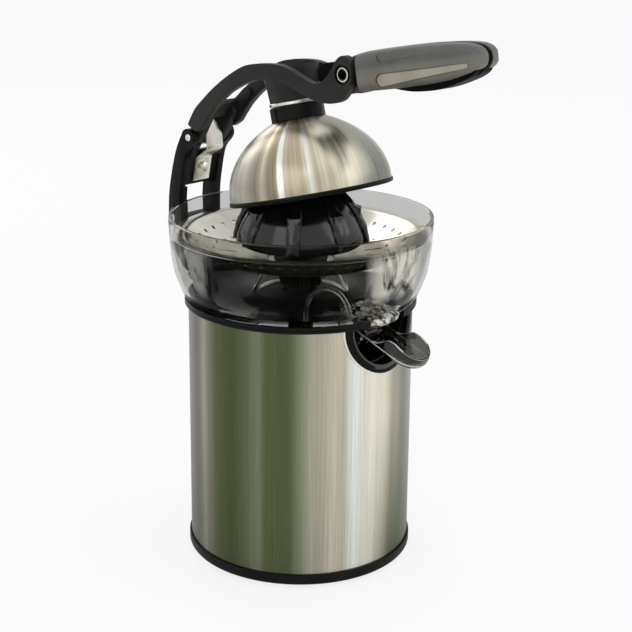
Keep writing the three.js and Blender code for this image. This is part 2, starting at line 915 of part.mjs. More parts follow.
// Fluted coupling under the reamer
function driveCoupling() {
  const neckTop = couplingFoot + couplingNeckHeight;
  const count = 4 * fluteCount;
  const ends = [[couplingFootRadius, neckTop], [couplingTopRadius, couplingTop]];
  const rings = ends.map(([radius, z]) => {
    const ring = [];
    for (let j = 0; j < count; j += 1) {
      const angle = 2 * Math.PI * j / count;
      const waved = radius + fluteDepth * Math.cos(fluteCount * angle);
      ring.push(new THREE.Vector3(waved * Math.cos(angle), waved * Math.sin(angle), z));
    }
    return ring;
  });
  const neck = disc(couplingNeck, couplingFoot, neckTop + overrun, smallSides);
  const bore = disc(shaftRadius + gap, couplingFoot - overrun, couplingTop + overrun, smallSides);
  return cut(join(loft(rings), neck), bore);
}

function driveShaft() {
  return disc(shaftRadius, shaftFoot, shaftTop, smallSides);
}

// Return spring under the thrust collar: one unbroken coil
function returnSpring() {
  const steps = springSteps * springTurns;
  const rings = [];
  const climb = springLength - 2 * springWire;
  for (let i = 0; i <= steps; i += 1) {
    const angle = 2 * Math.PI * springTurns * i / steps;
    const z = springFoot + springWire + climb * i / steps;
    const ring = [];
    for (let j = 0; j < springSides; j += 1) {
      const turn = 2 * Math.PI * j / springSides;
      const radius = springRadius + springWire * Math.cos(turn);
      ring.push(new THREE.Vector3(radius * Math.cos(angle), radius * Math.sin(angle),
        z + springWire * Math.sin(turn)));
    }
    rings.push(ring);
  }
  return loft(rings);
}

// Spur gear as a plate with stub teeth
function gearOutline(teeth, phase) {
  const pitch = toothModule * teeth / 2;
  const tip = pitch + toothDepthShare * toothModule;
  const root = pitch - (toothDepthShare + rootClearanceShare) * toothModule;
  const half = (Math.PI * toothModule / 2 - toothPlay) / 2;
  const edge = toothEdgeShare * toothModule;
  const lean = Math.tan(THREE.MathUtils.degToRad(toothLean));
  const points = [];
  for (let i = 0; i < teeth; i += 1) {
    const middle = phase + 2 * Math.PI * i / teeth;
    for (const [radius, side] of [[root, -1], [tip, -1], [tip, 1], [root, 1]]) {
      const width = Math.max(half - (radius - pitch) * lean, edge);
      const angle = middle + side * Math.min(width / radius, Math.PI / teeth - edge / radius);
      points.push([radius * Math.cos(angle), radius * Math.sin(angle)]);
    }
  }
  return outlineOf(points);
}

function gear(teeth, phase, foot, width) {
  const form = new THREE.ExtrudeGeometry(gearOutline(teeth, phase), {
    depth: width,
    bevelEnabled: false,
  });
  return form.translate(0, 0, foot);
}

function idlerPlace() {
  const angle = THREE.MathUtils.degToRad(idlerTurn);
  return new THREE.Vector3(centreDistance * Math.cos(angle), centreDistance * Math.sin(angle), 0);
}

// Teeth mesh where a tooth of one gear faces a space of the other on the line of centres
function motorPinion() {
  const angle = THREE.MathUtils.degToRad(idlerTurn);
  const form = gear(pinionTeeth, angle, firstGearZ, firstGearWidth + gap);
  const bore = disc(motorShaftRadius + gap, firstGearZ - overrun,
    firstGearZ + firstGearWidth + overrun, tinySides);
  return cut(form, bore);
}

function idlerGear() {
  const back = THREE.MathUtils.degToRad(idlerTurn + 180);
  const large = gear(wheelTeeth, back + Math.PI / wheelTeeth, firstGearZ,
    firstGearWidth);
  const small = gear(pinionTeeth, back, firstGearZ + firstGearWidth / 2,
    secondGearZ + secondGearWidth + gap - firstGearZ - firstGearWidth / 2);
  const bore = disc(idlerPinRadius + gap, firstGearZ - overrun,
    secondGearZ + secondGearWidth + 2 * overrun, tinySides);
  return cut(join(large, small), bore).translate(...idlerPlace());
}

function outputGear() {
  const angle = THREE.MathUtils.degToRad(idlerTurn);
  const wheel = gear(wheelTeeth, angle + Math.PI / wheelTeeth, secondGearZ,
    secondGearWidth);
  const hub = disc(bushRadius, secondGearZ, coverTop - coverWall - gap, smallSides);
  const bore = disc(shaftRadius + gap, secondGearZ - overrun, coverTop, smallSides);
  return cut(join(wheel, hub), bore);
}

function idlerPin() {
  const top = coverTop - coverWall - gap;
  return disc(idlerPinRadius, trayZ, top, tinySides).translate(...idlerPlace());
}

// Gear tray, cover and shaft bush
function gearTray() {
  const plate = disc(coverRadius, trayZ, trayTop, roundSides);
  const eye = disc(motorShaftRadius + gap, trayZ - overrun, trayTop + overrun, tinySides);
  const seat = disc(idlerPinRadius + gap, trayZ - overrun, trayTop + overrun, tinySides);
  return cut(plate, eye, seat.translate(...idlerPlace()));
}

function gearCover() {
  return turned([
    [bushRadius + gap, coverTop - coverWall],
    [coverRadius - coverWall, coverTop - coverWall],
    [coverRadius - coverWall, trayTop + gap],
    [coverRadius, trayTop + gap],
    [coverRadius, coverTop],
    [coverBoss, coverTop],
    [coverBoss, bushTop],
    [bushRadius + gap, bushTop],
  ], frameSides);
}

function shaftBush() {
  return turned([
    [shaftRadius + gap, coverTop],
    [bushRadius, coverTop],
    [bushRadius, bushTop + gap],
    [coverBoss, bushTop + gap],
    [coverBoss, bushTop + gap + bushFlange],
    [shaftRadius + gap, bushTop + gap + bushFlange],
  ], smallSides);
}

function microswitch() {
  const body = block(-switchWidth / 2, switchWidth / 2, -switchDepth / 2, switchDepth / 2,
    coverTop + gap, coverTop + gap + switchHeight);
  const button = disc(switchDepth / 4, coverTop + switchHeight, coverTop + switchHeight + 2 * gap
    + switchDepth / 4, tinySides);
  return join(body, button.translate(-switchWidth / 4, 0, 0)).translate(switchPlace, 0, 0);
}

// Motor
function motorFrame() {
  const head = disc(frameRadius, frameHead, frameHead + frameDisc, frameSides);
  const bottom = disc(frameRadius, frameFoot, frameFoot + frameDisc, frameSides);
  const pillars = [];
  for (let i = 0; i < pillarCount; i += 1) {
    const pillar = disc(pillarRadius, frameFoot, trayZ - gap, hexSides);
    const place = statorRadius + gap + pillarRadius;
    pillars.push(aroundZ(pillar.translate(place, 0, 0), 360 * (i + 0.5) / pillarCount));
  }
  const eye = disc(motorShaftRadius + gap, frameFoot - overrun, frameHead + frameDisc + overrun,
    tinySides);
  return cut(join(head, bottom, ...pillars), eye);
}

function stator() {
  return washer(statorBore, statorRadius, statorFoot, statorFoot + statorLength, statorSides);
}

function winding(foot) {
  return washer(statorBore + windingInset, statorRadius - windingInset, foot,
    foot + windingHeight, statorSides);
}

function motorShaft() {
  return disc(motorShaftRadius, motorShaftFoot, firstGearZ + firstGearWidth + gap, tinySides);
}

function armature() {
  const bore = motorShaftRadius + gap;
  return washer(bore, statorBore - armatureGap, statorFoot, statorFoot + statorLength, statorSides);
}

function commutator() {
  const bore = motorShaftRadius + gap;
  return washer(bore, commutatorRadius, commutatorFoot, commutatorFoot + commutatorLength,
    smallSides);
}

function coolingFan() {
  const hub = disc(fanHub, fanFoot, fanFoot + fanHeight, smallSides);
  const base = disc(fanRadius, fanFoot, fanFoot + fanBladeThickness, smallSides);
  const blades = [];
  for (let i = 0; i < fanBlades; i += 1) {
    const blade = block(fanHub - overrun, fanRadius - overrun, -fanBladeThickness / 2,
      fanBladeThickness / 2, fanFoot, fanFoot + fanHeight);
    blades.push(aroundZ(blade, 360 * i / fanBlades));
  }
  const bore = disc(motorShaftRadius + gap, fanFoot - overrun, fanFoot + fanHeight + overrun,
    tinySides);
  return cut(join(hub, base, ...blades), bore);
}

// Rear post: its outline follows shares of the lean behind the line from its foot to the hinge
// and of the hinge's height
function postCurve(shares) {
  const points = shares.map(([back, up]) => new THREE.Vector2(
    THREE.MathUtils.lerp(postMiddleY, hingeY, up) + back * postLean,
    postFoot + up * (hingeZ - postFoot),
  ));
  return new THREE.SplineCurve(points).getPoints(curveSteps).map((p) => [p.x, p.y]);
}

function postOutline() {
  return [
    ...postCurve(postRearShares),
    ...arcPoints(hingeY, hingeZ, postTopRadius, 0, postCrookTurn, curveSteps).slice(1),
    ...postCurve(postFrontShares),
    [postFootFront, postFoot],
  ];
}

function postFrontAt(z) {
  const points = postOutline();
  let front = Infinity;
  for (let i = 0; i < points.length; i += 1) {
    const [y0, z0] = points[i];
    const [y1, z1] = points[(i + 1) % points.length];
    if ((z0 - z) * (z1 - z) > 0 || z0 === z1) continue;
    front = Math.min(front, y0 + (y1 - y0) * (z - z0) / (z1 - z0));
  }
  return front;
}

// The web leans with the cheeks' front edge, set back from it
function webLine() {
  const top = [postFrontAt(postWebTop) + postWebInset, postWebTop];
  const bottom = [postFrontAt(postWebFoot) + postWebInset, postWebFoot];
  return { top, bottom };
}

function rearPost() {
  const body = acrossX(outlineOf(postOutline()), -cheekOut, cheekOut);
  const { top, bottom } = webLine();
  const far = hingeY + postLean + postDepth;
  const near = hingeY - 2 * postTopRadius;
  const fork = acrossX(outlineOf([
    [near, top[1]],
    top,
    [top[0] + postWebThickness, top[1]],
    [far, top[1]],
    [far, hingeZ + 2 * postTopRadius],
    [near, hingeZ + 2 * postTopRadius],
  ]), -cheekIn, cheekIn);
  const frontPocket = acrossX(outlineOf([
    [near, bottom[1]],
    bottom,
    top,
    [near, top[1]],
  ]), -cheekIn, cheekIn);
  const rearPocket = acrossX(outlineOf([
    [bottom[0] + postWebThickness, bottom[1]],
    [far, bottom[1]],
    [far, top[1]],
    [top[0] + postWebThickness, top[1]],
  ]), -cheekIn, cheekIn);
  const window = block(-cheekIn, cheekIn, near, far, windowFoot, bottom[1]);
  const pins = crossBar(hingePinRadius + gap, -cheekOut - overrun, cheekOut + overrun,
    hingeY, hingeZ);
  const stop = crossBar(stopPinRadius + gap, -cheekOut + cheekThickness / 2,
    cheekOut - cheekThickness / 2, hingeY, stopPinZ, tinySides);
  const leafHole = leafScrewBar(leafHoleRadius, postWebInset + postWebThickness + overrun);
  const screwHoles = [-1, 1].map((side) => disc(postScrewRadius + gap, deckTop,
    deckTop + gap + postScrewDepth, tinySides)
    .translate(side * postScrewPlace, postScrewY, 0));
  return cut(body, fork, frontPocket, rearPocket, window, pins, stop, leafHole, ...screwHoles);
}

function postScrew(side) {
  const head = trimFoot - gap;
  const form = turned([
    [0, head - postScrewHeadHeight],
    [postScrewHead, head - postScrewHeadHeight],
    [postScrewHead, head],
    [postScrewRadius, head],
    [postScrewRadius, deckTop + postScrewDepth],
    [0, deckTop + postScrewDepth],
  ], tinySides);
  return form.translate(side * postScrewPlace, postScrewY, 0);
}

// Leaf spring: lower plate on the web, a step forward and a pointed upper plate
function webSlope() {
  const { top, bottom } = webLine();
  return new THREE.Vector2(top[0] - bottom[0], top[1] - bottom[1]).normalize();
}

function leafFoot() {
  const { bottom } = webLine();
  const along = webSlope();
  const normal = new THREE.Vector2(-along.y, along.x);
  return new THREE.Vector2(...bottom)
    .addScaledVector(normal, gap)
    .addScaledVector(along, postWebInset);
}

function leafLine() {
  const along = webSlope();
  const normal = new THREE.Vector2(-along.y, along.x);
  const start = leafFoot();
  const bend = start.clone().addScaledVector(along, leafLower);
  const step = bend.clone().addScaledVector(normal, leafStep).add(new THREE.Vector2(0, leafRise));
  const shoulder = step.clone().add(new THREE.Vector2(0, leafUpper));
  return { start, bend, step, shoulder };
}

function leafSpring() {
  const { start, bend, step, shoulder } = leafLine();
  const along = webSlope();
  const normal = new THREE.Vector2(-along.y, along.x).multiplyScalar(leafSheet);
  const tip = shoulder.clone().add(new THREE.Vector2(0, leafPoint));
  const strip = acrossX(outlineOf([
    [start.x, start.y],
    [bend.x, bend.y],
    [step.x, step.y],
    [tip.x, tip.y],
    [tip.x - leafSheet, tip.y],
    [step.x - leafSheet, step.y - leafSheet],
    [bend.x + normal.x, bend.y - leafSheet],
    [start.x + normal.x, start.y + normal.y],
  ]), -leafWidth / 2, leafWidth / 2);
  const trims = [-1, 1].map((side) => {
    const outer = side * (leafWidth / 2 + overrun);
    const corner = outlineOf([
      [side * overrun / 2, tip.y + overrun],
      [outer, tip.y + overrun],
      [outer, shoulder.y],
      [side * leafWidth / 2, shoulder.y],
      [side * overrun / 2, tip.y],
    ]);
    return towardsFront(corner, tip.x + leafStep, 2 * leafStep);
  });
  return cut(strip, ...trims, leafScrewBar(leafHoleRadius, leafSheet + 2 * gap));
}

function leafScrewPoint() {
  const along = webSlope();
  return leafFoot().addScaledVector(along, leafLower / 2);
}

// Bar along the web's normal through the leaf's screw hole
function leafScrewBar(radius, inwards) {
  const along = webSlope();
  const point = leafScrewPoint();
  const form = disc(radius, -inwards, leafHeadHeight + leafSheet, tinySides);
  const tilt = Math.atan2(along.x, along.y);
  return form.rotateX(Math.PI / 2 - tilt).translate(0, point.x, point.y);
}

function leafScrew() {
  const along = webSlope();
  const point = leafScrewPoint();
  const form = turned([
    [0, -gap - postWebThickness],
    [leafHoleRadius - gap, -gap - postWebThickness],
    [leafHoleRadius - gap, leafSheet + gap],
    [leafHeadRadius, leafSheet + gap],
    [leafHeadRadius, leafSheet + gap + leafHeadHeight],
    [0, leafSheet + gap + leafHeadHeight],
  ], tinySides);
  const tilt = Math.atan2(along.x, along.y);
  return form.rotateX(Math.PI / 2 - tilt).translate(0, point.x, point.y);
}

// Lever arm: S-curved cheeks along one centre line, from the knuckle to the handle's lugs
function armLine() {
  const points = armLineShares.map(([back, up]) => new THREE.Vector2(
    hingeY - back * armReach,
    hingeZ + up * armRise,
  ));
  return new THREE.SplineCurve(points);
}

function armBand() {
  const line = armLine();
  const upper = [];
  const lower = [];
  for (let i = 0; i <= armSteps; i += 1) {
    const share = i / armSteps;
    const point = line.getPoint(share);
    const along = line.getTangent(share);
    const swell = (armEndHalf - armBandHalf) * Math.max(0, 1 - share / armSwellShare);
    const half = armBandHalf + swell;
    upper.push([point.x + half * along.y, point.y - half * along.x]);
    lower.push([point.x - half * along.y, point.y + half * along.x]);
  }
  return outlineOf([...upper, ...lower.reverse()]);
}

function lugCentres() {
  const top = [boltY + lugTopRadius / 8, boltZ + lugTopRadius / 2, lugTopRadius];
  const foot = [boltY + lugFootRadius / 2, boltZ - lugDropShare * lugFootRadius, lugFootRadius];
  return { top, foot };
}

function domeMatrix() {
  const tilt = THREE.MathUtils.degToRad(domeTilt);
  const drop = domeClosedZ - hingeZ;
  const y = hingeY - hingeY * Math.cos(tilt) + drop * Math.sin(tilt);
  const z = hingeZ + hingeY * Math.sin(tilt) + drop * Math.cos(tilt);
  return new THREE.Matrix4().makeRotationX(-tilt).setPosition(0, y, z);
}

function armFrame() {
  const { top, foot } = lugCentres();
  const forms = [];
  const line = armLine();
  const first = line.getPoint(knuckleEndShare);
  const second = line.getPoint(knuckleBlendShare);
  for (const side of [-1, 1]) {
    const span = (near, far) => (side > 0 ? [near, far] : [-far, -near]);
    forms.push(acrossX(armBand(), ...span(armCheekInner, cheekOut)));
    forms.push(acrossX(linkOutline(top, foot), ...span(armCheekInner, cheekOut)));
    forms.push(acrossX(
      linkOutline([hingeY, hingeZ, knuckleRadius], [first.x, first.y, armBandHalf]),
      ...span(knuckleInner, cheekIn - gap),
    ));
    forms.push(acrossX(
      linkOutline([first.x, first.y, armBandHalf], [second.x, second.y, armBandHalf]),
      ...span(knuckleInner, armCheekInner + overrun),
    ));
  }
  const webFoot = leafTop() + leafPoint / 3;
  forms.push(block(-armCheekInner - overrun, armCheekInner + overrun,
    hingeY - armEndHalf - armWebThickness - overrun, hingeY - armEndHalf - overrun,
    webFoot, webFoot + armWebHeight));
  const stem = disc(stemRadius, stemSeat, stemSeat + stemLength).applyMatrix4(domeMatrix());
  const screwHole = disc(domeScrewRadius + gap, stemSeat - overrun,
    stemSeat + domeScrewGrip + gap, tinySides).applyMatrix4(domeMatrix());
  const hingeHole = crossBar(hingePinRadius + gap, -cheekOut, cheekOut, hingeY, hingeZ);
  const boltHole = crossBar(boltRadius + gap, -cheekOut - overrun, cheekOut + overrun,
    boltY, boltZ);
  const sinks = [-1, 1].map((side) => crossBar(boltHeadRadius + 2 * gap,
    Math.min(side * (cheekOut + overrun), side * (cheekOut - boltHeadHeight - gap)),
    Math.max(side * (cheekOut + overrun), side * (cheekOut - boltHeadHeight - gap)),
    boltY, boltZ));
  return cut(join(...forms, stem), screwHole, hingeHole, boltHole, ...sinks);
}

function leafTop() {
  return leafLine().shoulder.y + leafPoint;
}

// Dome pieces, along +Z from the rim plane
function shellCurve(inset) {
  const radius = rimRadius - rimWall / 4 - inset;
  const [out, up] = shellShoulderShares;
  const curve = new THREE.CubicBezierCurve(
    new THREE.Vector2(radius, rimHeight + gap),
    new THREE.Vector2(radius, shellRiseShare * shellHeight),
    new THREE.Vector2(out * radius, up * shellHeight),
    new THREE.Vector2(shellTopRadius - inset / 2, shellHeight - inset),
  );
  return curve.getPoints(shellSteps).map((p) => [p.x, p.y]);
}

function domeRim() {
  return turned([
    [rimRadius - rimWall, 0],
    [rimRadius - rimWall / 4, 0],
    [rimRadius, rimHeight],
    [rimRadius - rimWall, rimHeight],
  ], fineSides);
}

function domeShell() {
  const bore = domeScrewRadius + gap;
  return turned([
    ...shellCurve(0),
    [bore, shellTop],
    [bore, shellHeight - shellSheet],
    ...shellCurve(shellSheet).reverse(),
  ], fineSides);
}

function domeInsert() {
  const bore = domeScrewRadius + gap;
  const outer = shellCurve(shellSheet + insertPlay);
  const inner = shellCurve(shellSheet + insertPlay + insertWall);
  const form = turned([
    ...outer,
    [bore, insertTop],
    [bore, insertTop - insertWall],
    ...inner.reverse(),
  ], insertSides);
  const edge = shellCurve(shellSheet + insertPlay + insertWall / 2);
  const inside = shellCurve(shellSheet + insertPlay + insertWall + insertRibProud).slice(1, -1);
  const [, low] = inside[0];
  const outline = [...edge.filter(([, z]) => z > low).slice(0, -1), ...inside.reverse()];
  const ribs = [];
  for (let i = 0; i < insertRibs; i += 1) {
    const rib = acrossX(outlineOf(outline), -insertRibThickness / 2, insertRibThickness / 2);
    ribs.push(aroundZ(rib, 360 * i / insertRibs));
  }
  return join(form, ...ribs);
}

function domeCollar() {
  return washer(domeScrewRadius + gap, collarRadius, collarSeat, collarSeat + collarLength);
}

function stemWasher() {
  return washer(domeScrewRadius + gap, washerRadius, washerSeat, washerSeat + washerThickness);
}

function domeScrew() {
  const seat = insertTop - insertWall - gap;
  return turned([
    [0, seat - domeScrewHeadHeight],
    [domeScrewHead, seat - domeScrewHeadHeight],
    [domeScrewHead, seat],
    [domeScrewRadius, seat],
    [domeScrewRadius, stemSeat + domeScrewGrip],
    [0, stemSeat + domeScrewGrip],
  ], smallSides);
}

// Handle, drawn along -Y from the bolt at the origin, before it is tilted up to its rise
function handleSection(share) {
  const rows = handleShares;
  let i = 0;
  while (i + 2 < rows.length && rows[i + 1][0] < share) i += 1;
  const part = (share - rows[i][0]) / (rows[i + 1][0] - rows[i][0]);
  return rows[i].map((value, k) => value + (rows[i + 1][k] - value) * part);
}

function handleRing(share, inset, squash = 1) {
  const [, tall, wide, lift] = handleSection(share);
  const points = [];
  for (let j = 0; j < handleSides; j += 1) {
    const angle = 2 * Math.PI * j / handleSides;
    const c = Math.cos(angle);
    const s = Math.sin(angle);
    const out = Math.sign(c) * Math.abs(c) ** handleRoundnessShare;
    const up = Math.sign(s) * Math.abs(s) ** handleRoundnessShare;
    points.push(new THREE.Vector3(
      (handleHalfWidth * wide - inset) * squash * out,
      -handleStart - share * (handleLength - handleStart),
      (handleHalfHeight * tall - inset) * squash * up + lift * handleHalfHeight,
    ));
  }
  return points;
}

function handleGrip() {
  const shares = [...gripShares, gripEndShare];
  const body = loft([handleRing(0, panelThickness), ...shares.map((share) => handleRing(share, 0))]);
  const core = loft(coreRings(gripWall, gripEndShare + overrun / handleLength));
  const wedgeSlot = block(-keelHalf - gap, keelHalf + gap, -handleLength, -keelStart,
    -2 * handleHalfHeight, gap - keelTop);
  const panels = [-1, 1].map((side) => panelSlab(side, gap));
  return cut(body, core, wedgeSlot, ...panels);
}

// Side panel set into the grip: a slim oval slab that the grip's own skin trims
function panelSlab(side, play) {
  const outline = linkOutline(
    [-panelStart - panelRadius, -panelFootDrop, panelRadius + play],
    [panelTipRadius - panelStart - panelLength, panelTipLift, panelTipRadius + play],
  );
  const inner = handleHalfWidth - 2 * panelThickness - play;
  const outer = handleHalfWidth + 2 * panelThickness;
  return side > 0 ? acrossX(outline, inner, outer) : acrossX(outline, -outer, -inner);
}

function handlePanel(side) {
  const shares = [...gripShares, gripEndShare];
  const skin = loft(shares.map((share) => handleRing(share, panelThickness / 3)));
  return common(panelSlab(side, 0), skin);
}

function coreRings(inset, last) {
  const start = handleRing(0, inset).map((point) => point.clone().setY(0));
  return [start, ...[0, gripEndShare / 2, gripEndShare, last].map((s) => handleRing(s, inset))];
}

function handleCore() {
  const bar = loft(coreRings(gripWall + gap, 1 - handleTipLength / 2 / handleLength));
  const tang = acrossX(
    linkOutline([0, 0, tangRadius], [tangLength, tangEndRadius / 2, tangEndRadius]),
    -tangHalfWidth, tangHalfWidth,
  );
  const clip = block(-tangHalfWidth, tangHalfWidth, -handleStart + gap, tangLength + tangEndRadius,
    -2 * tangRadius, 2 * tangRadius);
  const keel = acrossX(linkOutline(
    [-keelMiddle, -keelSag, keelMiddleRadius],
    [-keelEnd, 0, keelEndRadius],
  ), -keelHalf, keelHalf);
  const keelZone = block(-keelHalf, keelHalf, -handleLength * gripEndShare, -keelStart - gap,
    -2 * handleHalfHeight, -keelTop);
  const hole = crossBar(boltRadius + gap, -tangHalfWidth - overrun, tangHalfWidth + overrun, 0, 0);
  return cut(join(bar, common(tang, clip), common(keel, keelZone)), hole);
}

function handleEndCap() {
  const start = gripEndShare + (seamWidth + gap) / handleLength;
  const rings = capShares.map((share) => handleRing(
    start + (1 - start) * share,
    0,
    Math.sqrt(1 - share ** 2 * capShares[capShares.length - 1]),
  ));
  const socketShares = [start - overrun / handleLength, 1 - handleTipLength / 3 / handleLength];
  const socket = loft(socketShares.map((share) => handleRing(share, gripWall)));
  return cut(loft(rings), socket);
}

function handleBolt() {
  const seat = -cheekOut + boltHeadHeight;
  return turned([
    [0, seat - boltHeadHeight],
    [boltHeadRadius, seat - boltHeadHeight],
    [boltHeadRadius, seat],
    [boltRadius, seat],
    [boltRadius, cheekOut - boltHeadHeight / 2],
    [0, cheekOut - boltHeadHeight / 2],
  ], smallSides).rotateY(Math.PI / 2);
}

function handleNut() {
  const inner = cheekOut - boltHeadHeight;
  const hexagon = disc(boltHeadRadius, inner, cheekOut, hexSides);
  const bore = disc(boltRadius + gap, inner - overrun, cheekOut + overrun, smallSides);
  return cut(hexagon, bore).rotateY(Math.PI / 2);
}

// Assembly
const press = new THREE.Group();

press.add(
  piece('base_plate', basePlate(), blackPlastic),
  piece('base_ring', baseRing(), blackPlastic),
);
for (let i = 0; i < footCount; i += 1) {
  press.add(piece(`foot_${i + 1}`, foot(i), rubber));
}
press.add(
  piece('outer_sleeve', outerSleeve(), steel),
  piece('inner_housing', innerHousing(), blackPlastic),
  piece('cord_gland', cordGland(), rubber),
  piece('top_deck', topDeck(), blackPlastic),
  piece('spout_bezel', spoutBezel(), blackPlastic),
  piece('bowl', bowl(), clearPlastic),
  piece('strainer', strainer(), brightSteel),
);

const spout = new THREE.Group();
spout.position.set(0, -spoutPivotY, spoutPivotZ);
spout.rotation.x = THREE.MathUtils.degToRad(spoutSlope);
spout.add(piece('spout_trough', spoutTrough(), clearPlastic));
press.add(spout);
const spoutPinEnd = spoutHalfWidth + spoutLugThickness;
press.add(piece(
  'spout_pin',
  crossBar(spoutPinRadius, -spoutPinEnd, spoutPinEnd, -spoutPivotY, spoutPivotZ, tinySides),
  brightSteel,
));

press.add(
  piece('reamer', reamer(), blackPlastic),
  piece('drive_coupling', driveCoupling(), blackPlastic),
  piece('drive_shaft', driveShaft(), brightSteel),
  piece('thrust_collar', washer(shaftRadius + gap, guideBore - gap, collarFoot,
    collarFoot + collarHeight, smallSides), nylon),
  piece('return_spring', returnSpring(), brightSteel),
  piece('shaft_bush', shaftBush(), brass),
  piece('output_gear', outputGear(), nylon),
  piece('idler_gear', idlerGear(), nylon),
  piece('idler_pin', idlerPin(), brightSteel),
  piece('gear_tray', gearTray(), blackPlastic),
  piece('gear_cover', gearCover(), blackPlastic),
  piece('microswitch', microswitch(), blackPlastic),
);

press.add(
  piece('motor_frame', motorFrame(), steel),
  piece('stator', stator(), steel),
  piece('winding_top', winding(statorFoot + statorLength + gap), copper),
  piece('winding_bottom', winding(statorFoot - gap - windingHeight), copper),
  piece('motor_shaft', motorShaft(), brightSteel),
  piece('armature', armature(), steel),
  piece('commutator', commutator(), copper),
  piece('cooling_fan', coolingFan(), nylon),
  piece('motor_pinion', motorPinion(), brass),
);

press.add(
  piece('rear_post', rearPost(), charcoalPlastic),
  piece('post_screw_1', postScrew(-1), brightSteel),
  piece('post_screw_2', postScrew(1), brightSteel),
  piece('hinge_pin', crossBar(hingePinRadius, -cheekOut, cheekOut, hingeY, hingeZ), brightSteel),
  piece('stop_pin', crossBar(stopPinRadius, gap - cheekOut + cheekThickness / 2,
    cheekOut - cheekThickness / 2 - gap, hingeY, stopPinZ, tinySides), brightSteel),
  piece('leaf_spring', leafSpring(), brightSteel),
  piece('leaf_screw', leafScrew(), brightSteel),
  piece('arm_frame', armFrame(), charcoalPlastic),
);

const dome = new THREE.Group();
dome.applyMatrix4(domeMatrix());
dome.add(
  piece('dome_rim', domeRim(), blackPlastic),
  piece('dome_shell', domeShell(), steel),
  piece('dome_insert', domeInsert(), blackPlastic),
  piece('dome_collar', domeCollar(), blackPlastic),
  piece('stem_washer', stemWasher(), brightSteel),
  piece('dome_screw', domeScrew(), brightSteel),
);
press.add(dome);

const handle = new THREE.Group();
handle.position.set(0, boltY, boltZ);
handle.rotation.x = -THREE.MathUtils.degToRad(handleRise);
handle.add(
  piece('handle_core', handleCore(), blackPlastic),
  piece('handle_grip', handleGrip(), greyGrip),
  piece('handle_panel_left', handlePanel(-1), beigePanel),
  piece('handle_panel_right', handlePanel(1), beigePanel),
  piece('handle_end_cap', handleEndCap(), charcoalPlastic),
  piece('handle_bolt', handleBolt(), brightSteel),
  piece('handle_nut', handleNut(), brightSteel),
);
press.add(handle);

export default press;
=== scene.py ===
from math import acos, atan2, cos, degrees, pi, radians, sin, sqrt

import bmesh
import bpy
from mathutils import Matrix, Vector


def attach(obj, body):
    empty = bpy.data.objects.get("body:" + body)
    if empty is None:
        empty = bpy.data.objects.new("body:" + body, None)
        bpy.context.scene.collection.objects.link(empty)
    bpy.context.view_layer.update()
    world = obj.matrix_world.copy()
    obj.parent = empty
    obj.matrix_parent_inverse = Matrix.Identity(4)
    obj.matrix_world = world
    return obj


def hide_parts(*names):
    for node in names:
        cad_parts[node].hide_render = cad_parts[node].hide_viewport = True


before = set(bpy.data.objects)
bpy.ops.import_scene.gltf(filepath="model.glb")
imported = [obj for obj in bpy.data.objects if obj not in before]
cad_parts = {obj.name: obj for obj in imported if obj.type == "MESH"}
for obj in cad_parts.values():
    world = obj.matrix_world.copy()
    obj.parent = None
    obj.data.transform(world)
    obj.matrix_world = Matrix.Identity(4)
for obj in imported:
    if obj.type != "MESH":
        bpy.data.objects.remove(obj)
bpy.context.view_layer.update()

# The view: a long lens at the worktop's front left, looking a little down on the press.
# The pale worktop and the plain room round it are lit evenly, with three large soft lamps.
mm = 0.001

bpy.ops.object.select_all(action='DESELECT')
turn_left = Matrix.Rotation(radians(-47), 3, 'Z')
look_down = Matrix.Rotation(radians(74.77), 3, 'X')
lean = Matrix.Rotation(radians(0.358), 3, 'Z')
bpy.ops.object.camera_add(location=(-0.6651, -0.6202, 0.4451),
                          rotation=(turn_left @ look_down @ lean).to_euler())
camera = bpy.context.object
camera.data.sensor_width = 36
camera.data.lens = 80.61
camera.data.shift_x = 0.024
camera.data.shift_y = -0.0854
camera.data.clip_start = 0.01
bpy.context.scene.camera = camera
bpy.context.scene.view_settings.view_transform = 'Standard'

worktop_drop = 2.7
bpy.ops.mesh.primitive_plane_add(size=30, location=(0, 0, 0))
worktop = bpy.context.object
worktop.name = 'worktop'
bpy.ops.object.mode_set(mode='EDIT')
bpy.ops.mesh.subdivide(number_cuts=2)
bpy.ops.transform.translate(value=(0, 0, -worktop_drop * mm))
bpy.ops.object.mode_set(mode='OBJECT')


def node_maker(tree):
    """A way to add nodes to a tree with their values and wires."""
    def add(kind, values=(), **wires):
        node = tree.nodes.new('ShaderNode' + kind)
        for key, value in dict(values).items():
            if isinstance(key, str) and hasattr(node, key):
                setattr(node, key, value)
            else:
                node.inputs[key].default_value = value
        for key, wire in wires.items():
            slot = node.inputs[int(key[2:])] if key.startswith('in') else node.inputs[key]
            tree.links.new(wire, slot)
        return node

    return add


def new_material(name, fixed):
    """A material, its shader with the fixed values set, and a way to add wired nodes to it."""
    made = bpy.data.materials.new(name)
    made.use_nodes = True
    shader = made.node_tree.nodes['Principled BSDF']
    for socket, value in fixed.items():
        shader.inputs[socket].default_value = value
    return made, shader, node_maker(made.node_tree)


def feed(node, socket, wire):
    """Lead a wire to a node's socket."""
    node.id_data.links.new(wire, node.inputs[socket])


top, shader, add = new_material('pale_worktop', {'Base Color': (0.86, 0.86, 0.86, 1), 'Roughness': 0.6})
seen = add('LightPath')
glow = add('Emission', {'Color': (1, 1, 1, 1), 'Strength': 1.0})
share = add('Math', {'operation': 'MULTIPLY', 1: 0.82}, in0=seen.outputs['Is Camera Ray'])
blend = add('MixShader', {}, in0=share.outputs[0], in1=shader.outputs[0], in2=glow.outputs[0])
feed(top.node_tree.nodes['Material Output'], 'Surface', blend.outputs[0])
worktop.data.materials.append(top)

